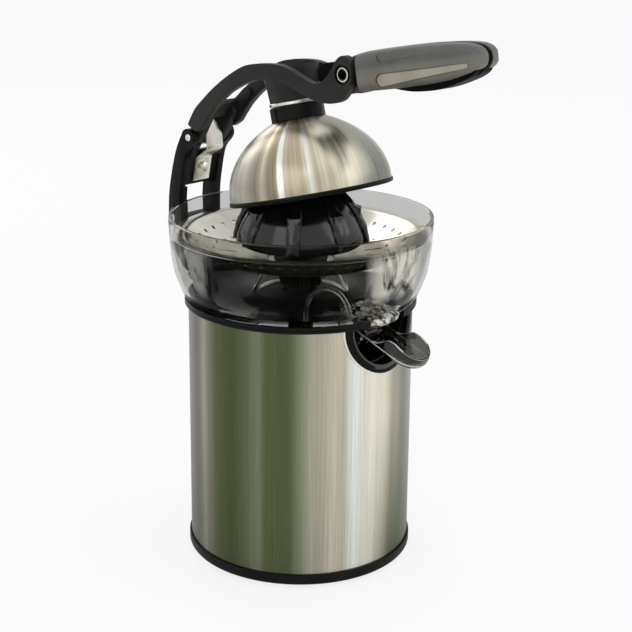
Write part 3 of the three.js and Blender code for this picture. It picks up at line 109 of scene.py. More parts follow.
room = bpy.data.worlds.new('room')
bpy.context.scene.world = room
room.use_nodes = True
add = node_maker(room.node_tree)
seen = add('LightPath')
either = add('Math', {'operation': 'MAXIMUM'}, in0=seen.outputs['Is Camera Ray'],
             in1=seen.outputs['Is Transmission Ray'])
level = add('MapRange', {'To Min': 0.75, 'To Max': 1.0}, Value=either.outputs[0])
backdrop = room.node_tree.nodes['Background']
backdrop.inputs['Color'].default_value = (1, 1, 1, 1)
feed(backdrop, 'Strength', level.outputs['Result'])

for name, place, size, power in (
        ('key_lamp', (0.9, -1.3, 1.5), 1.8, 10),
        ('side_lamp', (-1.6, -0.3, 1.1), 1.3, 5),
        ('rear_lamp', (0.5, 1.6, 1.2), 1.3, 6)):
    bpy.ops.object.light_add(type='AREA', location=place)
    lamp = bpy.context.object
    lamp.name = name
    lamp.data.energy = power
    lamp.data.size = size
    lamp.rotation_euler = (Vector((0, 0, 0.15)) - Vector(place)).to_track_quat('-Z', 'Y').to_euler()


# Sleeve of the body: thin stainless sheet rolled to a tube, brushed up and down,
# cut out at the front for the spout's recess. It stands in the base ring.
def pick(piece):
    """Select a piece alone."""
    bpy.ops.object.select_all(action='DESELECT')
    bpy.context.view_layer.objects.active = piece
    piece.select_set(True)


def edit(piece=None):
    """Go into edit mode on a piece with all of it selected."""
    if piece is not None:
        pick(piece)
    bpy.ops.object.mode_set(mode='EDIT')
    bpy.ops.mesh.select_mode(type='VERT')
    bpy.ops.mesh.select_all(action='SELECT')


def leave_edit(merge=True):
    """Weld the seams, turn the faces outwards and leave edit mode."""
    bpy.ops.mesh.select_all(action='SELECT')
    if merge:
        bpy.ops.mesh.remove_doubles(threshold=0.001 * mm)
    bpy.ops.mesh.normals_make_consistent(inside=False)
    bpy.ops.object.mode_set(mode='OBJECT')


def settle(piece):
    """Put a piece's place into its mesh."""
    pick(piece)
    bpy.ops.object.transform_apply(location=True, rotation=True, scale=True)


def draw_out(x, y, z):
    """Extrude what is selected by a step."""
    bpy.ops.mesh.extrude_region_move(TRANSFORM_OT_translate={'value': (x * mm, y * mm, z * mm)})


def turned(name, profile, sides=144):
    """Turn a (radius, height) profile round Z. One that starts on the axis is solid."""
    solid = profile[0][0] == 0
    points = [p for p in profile if p[0] > 0] if solid else [*profile, profile[0]]
    radius, height = points[0]
    bpy.ops.object.select_all(action='DESELECT')
    bpy.ops.mesh.primitive_circle_add(vertices=sides, radius=radius * mm,
                                      fill_type='NGON' if solid else 'NOTHING',
                                      location=(0, 0, height * mm))
    piece = bpy.context.object
    piece.name = name
    settle(piece)
    edit()
    for (r0, z0), (r1, z1) in zip(points, points[1:]):
        draw_out(0, 0, z1 - z0)
        bpy.ops.transform.resize(value=(r1 / r0, r1 / r0, 1), center_override=(0, 0, z1 * mm))
    leave_edit()
    return piece


def tube(name, inner, outer, low, high, sides=144):
    """A straight tube round Z between two radii and two heights, or a rod where the inner is 0."""
    return turned(name, [(inner, low), (outer, low), (outer, high), (inner, high)], sides)


def use(piece, kind, **settings):
    """Add a modifier and apply it."""
    pick(piece)
    modifier = piece.modifiers.new(kind.lower(), kind)
    for key, value in settings.items():
        setattr(modifier, key, value)
    bpy.ops.object.modifier_apply(modifier=modifier.name)


def carve(piece, *tools, operation='DIFFERENCE'):
    """Cut tools from a piece, or join or cross them with it, and throw the tools away."""
    for tool in tools:
        use(piece, 'BOOLEAN', operation=operation, object=tool, solver='EXACT')
        bpy.data.objects.remove(tool)


def shift(piece, x=0, y=0, z=0, about_x=0):
    """Turn a piece about the X axis and move it, in its mesh."""
    turn = Matrix.Rotation(radians(about_x), 4, 'X')
    piece.matrix_world = Matrix.Translation(Vector((x, y, z)) * mm) @ turn @ piece.matrix_world
    settle(piece)


def fit(piece, material, body, slot, *nodes, smooth=35):
    """Give a piece its finish, the body that it moves with and the nodes that it stands for."""
    pick(piece)
    bpy.ops.object.shade_smooth_by_angle(angle=radians(smooth))
    piece.data.materials.clear()
    piece.data.materials.append(material)
    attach(piece, body)
    if nodes:
        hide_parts(*nodes)


def own_place(add):
    """A wire with the place on the piece, in its own coordinates."""
    return add('TexCoord').outputs['Object']


def join(add, kind, operation, first, second):
    """Result of a Math or VectorMath node on a wire and another wire or a fixed value."""
    if isinstance(second, (int, float, tuple)):
        node = add(kind, {'operation': operation, 1: second}, in0=first)
    else:
        node = add(kind, {'operation': operation}, in0=first, in1=second)
    number = kind == 'Math' or operation == 'DOT_PRODUCT'
    return node.outputs['Value' if number else 'Vector']


def product(add, first, second):
    """Two wires multiplied, or a wire times a fixed value."""
    return join(add, 'Math', 'MULTIPLY', first, second)


def stretched(add, place, factors):
    """A place multiplied axis by axis."""
    return join(add, 'VectorMath', 'MULTIPLY', place, factors)


def level_way(add, place):
    """The level arrow of length one from the Z axis towards a place."""
    flat = stretched(add, place, (1, 1, 0))
    return add('VectorMath', {'operation': 'NORMALIZE'}, in0=flat).outputs['Vector']


def round_place(add, place, k, rise):
    """Coordinates on a circle round Z with the height, so that a pattern has no seam."""
    wide = stretched(add, level_way(add, place), (k, k, 0))
    high = stretched(add, place, (0, 0, rise))
    return join(add, 'VectorMath', 'ADD', wide, high)


def noise(add, place, scale, detail, **more):
    """Noise on a place."""
    return add('TexNoise', {'Scale': scale, 'Detail': detail, **more}, Vector=place).outputs['Fac']


def grey(tone):
    """A neutral colour."""
    return (tone, tone, tone)


def ramp(add, wire, *stops):
    """A colour ramp with (place, colour) stops on a wire."""
    node = add('ValToRGB', {}, Fac=wire)
    band = node.color_ramp
    while len(band.elements) < len(stops):
        band.elements.new(0.5)
    for element, (at, color) in zip(band.elements, stops):
        element.position = at
        element.color = (*color, 1)
    return node.outputs['Color']


def spread(add, wire, low, high, start=0.0, end=1.0):
    """Map a wire to a range."""
    ends = {'From Min': start, 'From Max': end, 'To Min': low, 'To Max': high}
    return add('MapRange', ends, Value=wire).outputs['Result']


def drift(add, cloud, low, high):
    """Map the middle of a noise to a range."""
    return spread(add, cloud, low, high, 0.3, 0.7)


def scaled(add, tone, amount):
    """A colour made lighter or darker by a wire."""
    return add('VectorMath', {'operation': 'SCALE'}, in0=tone, Scale=amount).outputs['Vector']


def dent(shader, add, wire, strength, depth):
    """Bump a surface by a wire."""
    bump = add('Bump', {'Strength': strength, 'Distance': depth * mm}, Height=wire)
    feed(shader, 'Normal', bump.outputs['Normal'])


sleeve_radius, sleeve_wall = 75, 0.8
sleeve_foot, sleeve_top = 5.0, 171.6
recess_radius = 30.1

sleeve = turned('sleeve', [
    (sleeve_radius, sleeve_foot), (sleeve_radius, sleeve_top),
    (sleeve_radius - sleeve_wall, sleeve_top), (sleeve_radius - sleeve_wall, sleeve_foot)], 192)
recess_tool = tube('recess_tool', 0, recess_radius, 0, 60, 96)
shift(recess_tool, 0, -40, sleeve_top, about_x=90)
carve(sleeve, recess_tool)

sleeve_steel, shader, add = new_material('sleeve_steel', {'Metallic': 1})
place = own_place(add)
axes = add('SeparateXYZ', {}, in0=place).outputs
angle = join(add, 'Math', 'ARCTAN2', axes['X'], product(add, axes['Y'], -1.0))
around = spread(add, angle, 0, 1, -pi, pi)
# Painted reflections: broad light and dark bands by the angle round the sleeve stand for the studio
# mirrored in the steel.
olive, moss, beige, cream = (
    (0.10, 0.118, 0.056), (0.19, 0.21, 0.14), (0.5, 0.46, 0.36), (0.9, 0.86, 0.72))
painted_reflection_bands = ramp(add, around,
             (0.0, beige), (0.07, cream), (0.15, (0.13, 0.125, 0.11)), (0.193, (0.15, 0.14, 0.11)),
             (0.213, (0.36, 0.34, 0.28)), (0.227, (0.22, 0.22, 0.17)), (0.241, olive),
             (0.276, (0.07, 0.09, 0.04)), (0.29, (0.12, 0.14, 0.08)), (0.312, moss), (0.323, olive),
             (0.355, (0.105, 0.125, 0.062)), (0.371, (0.25, 0.28, 0.185)), (0.388, (0.42, 0.41, 0.33)),
             (0.42, (0.64, 0.58, 0.46)), (0.431, (0.52, 0.5, 0.4)), (0.447, (0.9, 0.95, 0.9)),
             (0.466, (0.84, 0.83, 0.72)), (0.487, cream), (0.503, (0.8, 0.75, 0.62)),
             (0.518, (0.42, 0.4, 0.32)), (0.535, (0.36, 0.35, 0.28)), (0.552, (0.24, 0.24, 0.22)),
             (0.59, (0.34, 0.34, 0.32)), (0.7, cream), (0.8, (0.4, 0.38, 0.3)), (1.0, beige))
# Painted green reflection of the floor: low on the sleeve, on some sides, the bands are mixed towards dark
# green.
low = spread(add, axes['Z'], 1, 0, 0.01, 0.11)
sides = ramp(add, around, (0.1, grey(1)), (0.25, grey(0.12)), (0.42, grey(0.06)), (0.47, grey(0.16)),
             (0.51, grey(0.8)), (0.53, grey(1)))
painted_green_reflection = product(add, low, sides)
painted_reflection_bands = add('MixRGB', {'Color2': (0.085, 0.11, 0.055, 1)}, Fac=painted_green_reflection, Color1=painted_reflection_bands).outputs[0]
fine = noise(add, round_place(add, place, 160, 14), 1, 4, Roughness=0.6)
broad = noise(add, round_place(add, place, 9, 1.5), 1, 2)
# The painted bands are streaked by the brushing marks and drift with broad noise.
brushed = scaled(add, painted_reflection_bands, drift(add, fine, 0.8, 1.18))
feed(shader, 'Base Color', scaled(add, brushed, drift(add, broad, 0.9, 1.1)))
feed(shader, 'Roughness', drift(add, fine, 0.24, 0.42))
dent(shader, add, fine, 0.12, 0.05)
fit(sleeve, sleeve_steel, 'housing', 'brushed_steel', 'outer_sleeve')


# Base ring, base plate and feet: black injection-moulded plastic with rubber buttons
# pressed into the plate. The ring is clipped over the sleeve's lower edge.
def moulded(name, dark, light, roughness, scale=420, depth=0.04, patch=38, shine=0.25):
    """Moulded plastic: a fine spark-eroded grain, soft patches and uneven gloss."""
    made, shader, add = new_material(name, {'Specular IOR Level': shine})
    place = own_place(add)
    cloud = noise(add, place, patch, 3)
    feed(shader, 'Base Color', ramp(add, cloud, (0.3, dark), (0.7, light)))
    feed(shader, 'Roughness', drift(add, cloud, roughness - 0.06, roughness + 0.07))
    dent(shader, add, noise(add, place, scale, 4), 0.25, depth)
    return made


def soften(piece, width, segments=3, angle=35):
    """Break the sharp edges of a piece."""
    use(piece, 'BEVEL', width=width * mm, segments=segments, limit_method='ANGLE',
        angle_limit=radians(angle), use_clamp_overlap=True)


def block(name, x, y, z):
    """A cutting block between two places on each axis."""
    spans = (x, y, z)
    middle = [(a + b) / 2 * mm for a, b in spans]
    bpy.ops.object.select_all(action='DESELECT')
    bpy.ops.mesh.primitive_cube_add(size=1, location=middle)
    piece = bpy.context.object
    piece.name = name
    piece.scale = [(b - a) * mm for a, b in spans]
    settle(piece)
    return piece


def spin(piece, angle, axis='Z'):
    """Turn a piece about an axis through the origin, in its mesh."""
    piece.matrix_world = Matrix.Rotation(radians(angle), 4, axis) @ piece.matrix_world
    settle(piece)


def copy(piece, name, x=0, y=0, z=0):
    """Another of the same piece, with its own mesh."""
    other = piece.copy()
    other.data = piece.data.copy()
    other.name = name
    bpy.context.collection.objects.link(other)
    shift(other, x, y, z)
    return other


black = moulded('black_plastic', grey(0.004), (0.011, 0.011, 0.010), 0.34, shine=0.1)
rubber = moulded('rubber_feet', grey(0.012), (0.022, 0.021, 0.02), 0.75, depth=0.1)

base_ring = turned('base_ring', [
    (71.5, 0), (75.2, 0), (76.3, 1.4), (76.3, 7.2), (75.2, 7.2), (75.2, 4.6), (71.5, 4.6)], 192)
soften(base_ring, 0.45)
fit(base_ring, black, 'housing', 'black_plastic', 'base_ring')

base_plate = tube('base_plate', 0, 71.2, 0, 3, 96)
vents = []
for i in range(5):
    vent = block(f'vent_{i}', (34, 50), (-1.5, 1.5), (-1, 4))
    spin(vent, 72 * i)
    vents.append(vent)
carve(base_plate, *vents)
fit(base_plate, black, 'housing', 'black_plastic', 'base_plate')

foot_place = 43.13
foot = turned('foot_button_1', [
    (0, -worktop_drop), (7.2, -worktop_drop), (8, -2.1), (8, -0.9), (7.4, -0.3), (3, -0.3),
    (3, 3), (0, 3)], 48)
shift(foot, foot_place, foot_place)
fit(foot, rubber, 'housing', 'rubber', 'foot_1')
for i, (x, y) in enumerate(((-2, 0), (-2, -2), (0, -2)), 2):
    other = copy(foot, f'foot_button_{i}', x * foot_place, y * foot_place)
    fit(other, rubber, 'housing', 'rubber', f'foot_{i}')


# Cord gland: a black collar moulded in one and snapped into the back of the sleeve,
# low down, where the mains cord comes out.
gland = turned('gland_collar', [
    (3.4, 62.5), (6, 62.5), (6, 75.3), (9, 75.3), (9, 77), (8.2, 77.8), (3.4, 77.8)], 48)
soften(gland, 0.3)
shift(gland, 0, 0, 30, about_x=-90)
fit(gland, black, 'housing', 'black_plastic', 'cord_gland')


# Deck: black moulding that closes the body under the bowl, with a trim ring over the
# sleeve, a boss round the drive and a ribbed ear at the back that carries the post.
def plate(name, outline, near, far):
    """Trace a (y, z) outline point by point, fill it and extrude it across X."""
    bpy.ops.object.select_all(action='DESELECT')
    bpy.ops.mesh.primitive_plane_add(size=mm)
    piece = bpy.context.object
    piece.name = name
    edit()
    bpy.ops.mesh.merge(type='CENTER')
    y, z = outline[0]
    bpy.ops.transform.translate(value=(near * mm, y * mm, z * mm))
    for (y0, z0), (y1, z1) in zip(outline, outline[1:]):
        draw_out(0, y1 - y0, z1 - z0)
    bpy.ops.mesh.select_all(action='SELECT')
    bpy.ops.mesh.edge_face_add()
    draw_out(far - near, 0, 0)
    leave_edit()
    return piece


def weld(piece, *tools):
    """Join tools to a piece, as one moulding."""
    carve(piece, *tools, operation='UNION')


spout_y, spout_z = -60, 160
pocket_back = 41.7
deck = turned('deck', [
    (12.3, 153.6), (14.8, 153.6), (14.8, 171.6), (71.5, 171.6), (71.5, 151.6), (73.9, 151.6),
    (73.9, 171.9), (77.1, 171.9), (77.5, 172.3), (77.5, 173.6), (77.1, 173.9), (77.1, 174.1),
    (77.5, 174.4), (77.5, 175.7), (77.1, 176.1), (27, 176.1), (14.8, 178.6), (12.3, 178.6)], 192)
ear = plate('ear', [(71, 171.9), (91.5, 171.9), (93, 173.4), (93, 174.6), (91.5, 176.1), (71, 176.1)],
            -20.5, 20.5)
weld(deck, ear)
for side in (-1, 1):
    rib = plate('ear_rib', [(75.3, 174), (75.3, 158), (93, 171.9), (93, 174)],
                side * 17 - 1.5, side * 17 + 1.5)
    weld(deck, rib)
notch = block('notch', (-16.3, 16.3), (-79, -41), (150, 177.5))
cutter = tube('cutter', 0, recess_radius, 0, 60, 96)
shift(cutter, 0, 0.3 - pocket_back, sleeve_top, about_x=90)
top_keep = block('top_keep', (-40, 40), (-120, 0), (sleeve_top + 0.2, 260))
carve(cutter, top_keep)
skirt_seat = tube('skirt_seat', 0, 20, 171.8, 180, 48)
shift(skirt_seat, 0, spout_y)
carve(deck, notch, cutter, skirt_seat)
fit(deck, black, 'housing', 'black_plastic', 'top_deck')


# Bezel of the spout: a black moulded pocket in the sleeve, with a U-shaped flange over the
# cut edge, a grey lip in its mouth and two lugs for the spout's pin. The sleeve's cut edge
# shows round it as a thin bright hem.
def pointing_out(piece):
    """Turn an upright piece so that its axis points to the front, about the recess's centre."""
    shift(piece, 0, 0, sleeve_top, about_x=90)


def skin_ring(name, inner, outer, near, far, top):
    """A ring round the recess, cut to lie between two radii about the sleeve's axis."""
    piece = tube(name, inner, outer, 60, 80)
    pointing_out(piece)
    carve(piece, tube('skin', near, far, 130, top, 192), operation='INTERSECT')
    return piece


def link(first, second, steps=14):
    """Outline round two circles (y, z, radius), as a belt would run."""
    (y0, z0, r0), (y1, z1, r1) = first, second
    reach = sqrt((y1 - y0) ** 2 + (z1 - z0) ** 2)
    heading = atan2(z1 - z0, y1 - y0)
    open_up = acos((r0 - r1) / reach)
    points = []
    for y, z, r, start, sweep in (
            (y0, z0, r0, heading + open_up, 2 * (pi - open_up)),
            (y1, z1, r1, heading - open_up, 2 * open_up)):
        for i in range(steps + 1):
            turn = start + sweep * i / steps
            points.append((y + r * cos(turn), z + r * sin(turn)))
    return points


def metal(name, dark, light, low, high, scale=(90, 90, 90), depth=0.01):
    """Plain metal: tone and gloss drift with its rolling or turning marks."""
    made, shader, add = new_material(name, {'Metallic': 1})
    pull = add('Mapping', {'Scale': scale}, Vector=own_place(add)).outputs[0]
    marks = noise(add, pull, 1, 5, Roughness=0.65)
    feed(shader, 'Base Color', ramp(add, marks, (0.3, dark), (0.7, light)))
    feed(shader, 'Roughness', drift(add, marks, low, high))
    dent(shader, add, marks, 0.3, depth)
    return made


bezel = turned('bezel', [
    (0, pocket_back), (30.3, pocket_back), (30.3, 75.4), (28.4, 75.4), (28.0, 66), (27.2, 65.4),
    (26.8, 44), (0, 44)])
pointing_out(bezel)
flange = skin_ring('flange', 30.2, 32.4, 75.3, 76.6, 180)
weld(bezel, flange)
outside = tube('outside', 76.6, 90, 120, 210, 192)
above = block('above', (-60, 60), (-100, 0), (sleeve_top, 240))
carve(bezel, outside, above)
for side in (-1, 1):
    lug = plate('lug', link((spout_y, spout_z, 5), (-43, spout_z, 7)), side * 15 - 1.5,
                side * 15 + 1.5)
    weld(bezel, lug)
soften(bezel, 0.5, 2)
lip = skin_ring('bezel_lip', 27, 30.3, 75.2, 76.2, 171.5)
lip_grey = moulded('lip_grey', (0.03, 0.03, 0.028), (0.045, 0.045, 0.042), 0.3, 300, 0.02, shine=0.6)
fit(lip, lip_grey, 'housing', 'black_plastic')
hem = skin_ring('recess_hem', 31, 33.5, 74.6, 75.7, 171.5)
bright = metal('bright_steel', (0.74, 0.72, 0.65), (0.86, 0.84, 0.78), 0.22, 0.34, (60, 60, 60), 0.0005)
fit(hem, bright, 'housing', 'bright_steel')
bezel_black = moulded('bezel_black', grey(0.002), grey(0.006), 0.3, 300, 0.02, shine=0.1)
fit(bezel, bezel_black, 'housing', 'black_plastic', 'spout_bezel')


# Juice bowl: one clear moulding with a chimney in the middle, a ledge for the strainer,
# an outlet nozzle in its floor and an arched rib beside it. It sits loose on the deck.
def toward(add, place, x, y):
    """How far a place lies towards a level heading, from -1 to 1."""
    return join(add, 'VectorMath', 'DOT_PRODUCT', level_way(add, place), (x, y, 0))


def clear_moulding(name, tint, roughness, ripple, gloss=0.1, index=1.46):
    """Clear injection-moulded plastic with a faint flow ripple."""
    made, shader, add = new_material(name, {
        'Transmission Weight': 1, 'IOR': index, 'Specular IOR Level': gloss})
    flow = noise(add, own_place(add), 26, 2, Distortion=1.2)
    lighter = tuple(min(1, channel * 1.04) for channel in tint)
    feed(shader, 'Base Color', ramp(add, flow, (0.3, tint), (0.75, lighter)))
    feed(shader, 'Roughness', drift(add, flow, roughness, roughness + 0.05))
    dent(shader, add, flow, 0.3, ripple)
    return made, shader, add


bowl = turned('bowl', [
    (75.6, 176.4), (76.6, 176.6), (77.3, 177.6), (79.5, 181.6), (82.0, 187.8), (84.2, 194.6),
    (85.4, 201), (86.4, 208), (87.0, 216), (87.4, 225), (87.5, 230.2), (87.2, 230.8), (86.6, 230.9),
    (85.6, 230.9), (85.1, 230.5), (84.9, 224), (84.6, 218.8), (84.5, 218.4), (82.8, 218.4),
    (82.6, 217.8), (83.9, 215.8), (83.9, 208), (83.0, 201.2), (81.8, 195.2), (79.6, 188.8),
    (77.2, 182.8), (75.9, 180.4), (74.4, 179.4), (33, 179.4), (32, 179.9), (24.3, 199.7), (23.8, 200),
    (22.3, 200), (22.0, 199.6), (29.8, 176.9), (30.4, 176.4)], 192)
nozzle = turned('nozzle', [
    (0, 166.6), (8.2, 166.6), (9.4, 167.6), (9.2, 169.4), (15.4, 170.2), (18.4, 172), (19.5, 173.6),
    (19.5, 176.2), (17, 177.2), (13, 178.8), (9.8, 180), (8.4, 181.2), (0, 181.2)], 20)
shift(nozzle, 0, spout_y)
bore = turned('bore', [(0, 166), (5.6, 166), (5.6, 176), (7.4, 185), (0, 185)], 14)
shift(bore, 0, spout_y)
carve(nozzle, bore)
outlet = tube('outlet', 0, 19.7, 170, 180.4, 48)
shift(outlet, 0, spout_y)
carve(bowl, outlet)
clear_nozzle, shader, add = clear_moulding('clear_nozzle', (0.97, 0.95, 0.91), 0.0, 0.9, 1.0)
shader.inputs['Transmission Weight'].default_value = 0.15
place = own_place(add)
# Painted glints: cells of bright cream with dark lines between them, in the colour, for the sparkle of the
# clear nozzle.
painted_glint_cells = add('TexVoronoi', {'Scale': 300.0}, Vector=place).outputs['Distance']
feed(shader, 'Base Color', ramp(add, painted_glint_cells, (0.34, (1, 0.97, 0.91)), (0.5, (0.62, 0.56, 0.45)),
                                (0.62, (0.04, 0.04, 0.034))))
dent(shader, add, painted_glint_cells, 0.9, 1.6)
fit(nozzle, clear_nozzle, 'housing', 'clear_plastic', smooth=12)

arch = tube('floor_arch', 13.2, 15.6, -1.3, 1.3, 64)
soften(arch, 0.6, 3)
shift(arch, about_x=90)
arch.matrix_world = Matrix.Rotation(radians(-66), 4, 'Z') @ Matrix.Diagonal((1, 1, 1.2, 1))
shift(arch, -32.7, -53.6, 179.5)
carve(arch, block('arch_foot', (-60, 0), (-80, -20), (150, 179.3)))
clear_rib, *_ = clear_moulding('clear_rib', (0.85, 0.84, 0.8), 0.0, 0.3, 1.0)
fit(arch, clear_rib, 'housing', 'clear_plastic')

clear_bowl, shader, add = clear_moulding('clear_bowl', (0.6, 0.605, 0.59), 0.0, 0.6, 0.5, 1.09)
place = own_place(add)
# Painted reflection: a wavy cream patch on two sides of the wall, between two heights, stands for the room
# mirrored in the clear plastic; there less light goes through.
sides = join(add, 'Math', 'MAXIMUM', spread(add, toward(add, place, -0.02, -1), 0, 0.8, 0.95, 0.99),
             spread(add, toward(add, place, -0.97, 0.24), 0, 0.3, 0.955, 0.99))
height = add('SeparateXYZ', {}, in0=place).outputs['Z']
band = product(add, spread(add, height, 0, 1, 187 * mm, 196 * mm),
               spread(add, height, 1, 0, 217 * mm, 224 * mm))
pulled = add('Mapping', {'Scale': (52, 52, 20)}, Vector=place).outputs[0]
crumple = noise(add, pulled, 1, 4, Distortion=1.8)
wavy = product(add, band, spread(add, crumple, 0, 1, 0.44, 0.52))
painted_reflection_mask = product(add, sides, wavy)
tone = add('MixRGB', {'Color2': (0.84, 0.79, 0.68, 1)}, Fac=painted_reflection_mask,
           Color1=shader.inputs['Base Color'].links[0].from_socket)
feed(shader, 'Base Color', tone.outputs[0])
feed(shader, 'Transmission Weight', spread(add, painted_reflection_mask, 1, 0.1))
fit(bowl, clear_bowl, 'housing', 'clear_plastic', 'bowl')
clear_rim, *_ = clear_moulding('clear_rim', (0.62, 0.625, 0.61), 0.0, 0.4, 0.5)
clear_foot, *_ = clear_moulding('clear_foot', (0.6, 0.605, 0.59), 0.0, 0.2, 0.3, 1.02)


def select_where(piece, kind, wanted):
    """Go into edit mode with the vertices, edges or faces that are wanted selected."""
    edit(piece)
    bpy.ops.mesh.select_mode(type=kind)
    bpy.ops.mesh.select_all(action='DESELECT')
    mesh = bmesh.from_edit_mesh(piece.data)
    for element in {'VERT': mesh.verts, 'EDGE': mesh.edges, 'FACE': mesh.faces}[kind]:
        element.select = wanted(element)
    if kind == 'VERT':
        mesh.select_flush_mode()
    bmesh.update_edit_mesh(piece.data)


def finish_part(piece, material, wanted):
    """Give the faces whose middle (mm) is wanted a finish of their own."""
    piece.data.materials.append(material)
    select_where(piece, 'FACE', lambda face: wanted(*(face.calc_center_median() / mm)))
    piece.active_material_index = len(piece.data.materials) - 1
    bpy.ops.object.material_slot_assign()
    bpy.ops.object.mode_set(mode='OBJECT')


finish_part(bowl, clear_rim, lambda x, y, z: z > 229.6 or 218 < z < 219.5 or 199.5 < z < 200.5)
finish_part(bowl, clear_foot, lambda x, y, z: z < 178 or (z < 182 and x * x + y * y > 74.5 ** 2))


# Strainer: a thin polished stainless dish on the bowl's ledge, pressed from sheet and
# pierced with radial slots and two rings of drain holes.
sheet = 0.8
under = [(22.6, 200.3), (54, 203.5), (57, 204.0), (59.6, 205.2), (62, 206.8), (75.5, 216.6),
         (77.6, 217.9), (79.4, 218.6), (81, 218.75), (84.1, 218.75)]
strainer = turned('strainer', [*under, *[(r, z + sheet) for r, z in reversed(under)]], 160)
piercing = []
for i in range(24):
    slot_tool = block('slot_tool', (43.5, 54.5), (-0.9, 0.9), (198, 210))
    spin(slot_tool, 15 * (i + 0.5))
    piercing.append(slot_tool)
for count, radius, hole, low, high, phase in ((48, 58.5, 1.1, 198, 212, 0), (40, 69, 1.5, 204, 220, 0.5)):
    for i in range(count):
        hole_tool = tube('hole_tool', 0, hole, low, high, 12)
        turn = radians(360 / count * (i + phase))
        shift(hole_tool, radius * cos(turn), radius * sin(turn))
        piercing.append(hole_tool)
bpy.ops.object.select_all(action='DESELECT')
for tool in piercing:
    tool.select_set(True)
bpy.context.view_layer.objects.active = piercing[0]
bpy.ops.object.join()
carve(strainer, bpy.context.object)

polished, shader, add = new_material('polished_steel', {'Specular IOR Level': 0.1})
place = own_place(add)
marks = noise(add, place, 34, 4, Distortion=1.4)
# Painted reflections: the dish is painted from pale steel to near black by its heading round the axis, and
# its faces that point down dark green, for the room and the deck mirrored in it. Where these painted tones
# show, the metal is turned down.
edge = join(add, 'Math', 'ADD', toward(add, place, -0.62, -0.785), drift(add, marks, -0.16, 0.16))
painted_dish_reflections = ramp(add, spread(add, edge, 0, 1, -1, 1),
                 (0.0, (0.55, 0.53, 0.48)), (0.3, (0.8, 0.77, 0.7)), (0.48, (0.72, 0.66, 0.52)),
                 (0.58, (0.45, 0.39, 0.28)), (0.68, (0.1, 0.11, 0.08)), (1.0, (0.04, 0.05, 0.03)))
facing = add('SeparateXYZ', {}, in0=add('NewGeometry').outputs['Normal'])
below = spread(add, facing.outputs['Z'], 1, 0, -0.3, 0.1)
shown = add('MixRGB', {'Color2': (0.02, 0.03, 0.014, 1)}, Fac=below, Color1=painted_dish_reflections)
feed(shader, 'Base Color', shown.outputs[0])
feed(shader, 'Metallic', product(add, spread(add, edge, 1, 0.1, 0.1, 0.55), spread(add, below, 1, 0)))
feed(shader, 'Roughness', drift(add, marks, 0.1, 0.24))
dent(shader, add, marks, 0.3, 0.05)
fit(strainer, polished, 'housing', 'bright_steel', 'strainer')


# Fluted coupling: black moulded hub on the drive shaft, seen through the clear chimney.
# The reamer sits on it.
coupling = turned('coupling', [
    (5.3, 174.5), (8.6, 174.5), (8.6, 183.2), (13.2, 183.5), (13.6, 184.2), (15.4, 191), (16.8, 196.4),
    (18, 201), (17.4, 201.5), (5.3, 201.5)], 168)


def press_columns(piece, count, columns, amount, keep, phase=0.0):
    """Push the vertices that lie a number of columns from each of count lines in or out."""
    pitch = 360 / count

    def on_line(vertex):
        x, y, z = vertex.co / mm
        off = (degrees(atan2(y, x)) - phase + pitch / 2) % pitch - pitch / 2
        return abs(abs(off) - columns) < 0.1 and keep(sqrt(x * x + y * y), z)

    select_where(piece, 'VERT', on_line)
    bpy.ops.transform.shrink_fatten(value=amount * mm)
    leave_edit(merge=False)


for columns, amount in ((0, -1.1), (360 / 168, -0.5)):
    press_columns(coupling, 28, columns, amount, lambda r, z: r > 13 and 184 < z < 201.2)
fit(coupling, black, 'drive', 'black_plastic', 'drive_coupling')


# Reamer: one hollow black moulding with eight rounded ribs that run from the skirt up to
# the tip. It drops over the coupling and turns with it.
reamer_foot, reamer_rise, reamer_radius = 214, 48, 43


def cone_radius(z, radius=reamer_radius, rise=reamer_rise):
    """Radius of the rounded cone at a height."""
    up = min(max((z - reamer_foot) / rise, 0), 0.999)
    return radius * (1 - up ** 1.5) ** (2 / 3)


outer_heights = [reamer_foot + reamer_rise * sin(pi / 2 * i / 26) for i in range(26)]
inner_heights = [reamer_foot + (reamer_rise - 2.6) * sin(pi / 2 * i / 14) for i in range(14)]
inner_wall = [(cone_radius(z, reamer_radius - 2.6, reamer_rise - 2.6), z) for z in inner_heights]
reamer = turned('reamer', [
    (0, inner_wall[-1][1]), *reversed(inner_wall), (40.4, 212.6), (40.8, 212.2), (42.6, 212.2),
    (43, 212.6), *[(cone_radius(z), z) for z in outer_heights], (0, 262)], 320)
rib_turn = 36
for low, high, steps in (
        (256, 260.5, (0.9, 0.8, 0.3)), (250, 256, (1.9, 1.8, 1.4, 0.6)),
        (243, 250, (2.8, 2.8, 2.5, 1.9, 0.9)), (229, 243, (3.4, 3.4, 3.2, 2.8, 2.0, 0.9)),
        (221, 229, (3.2, 3.2, 3.0, 2.5, 1.7, 0.7)), (213, 221, (2.7, 2.7, 2.5, 2.0, 1.2))):
    for column, amount in enumerate(steps):
        press_columns(reamer, 8, column * 1.125, amount,
                      lambda r, z: low < z <= high and r > cone_radius(z) - 0.6,
                      rib_turn)
hub = tube('hub', 5.3, 10, 201.8, 249, 48)
weld(reamer, hub)
reamer_black = moulded('reamer_black', grey(0.003), grey(0.008), 0.14, 260, 0.004, shine=0.6)
fit(reamer, reamer_black, 'drive', 'black_plastic', 'reamer')


# Spout: a clear spoon-shaped trough that rocks on a steel pin in the bezel's lugs, so that
# it can be tipped up to stop the drip.
trough_half, tip_y, spout_tilt = 13.2, -32.8, 20


def along_x(piece, y=0, z=0):
    """Lay an upright turned piece along X through a place."""
    piece.matrix_world = (Matrix.Translation((0, y * mm, z * mm))
                          @ Matrix.Rotation(pi / 2, 4, 'Y') @ piece.matrix_world)
    settle(piece)


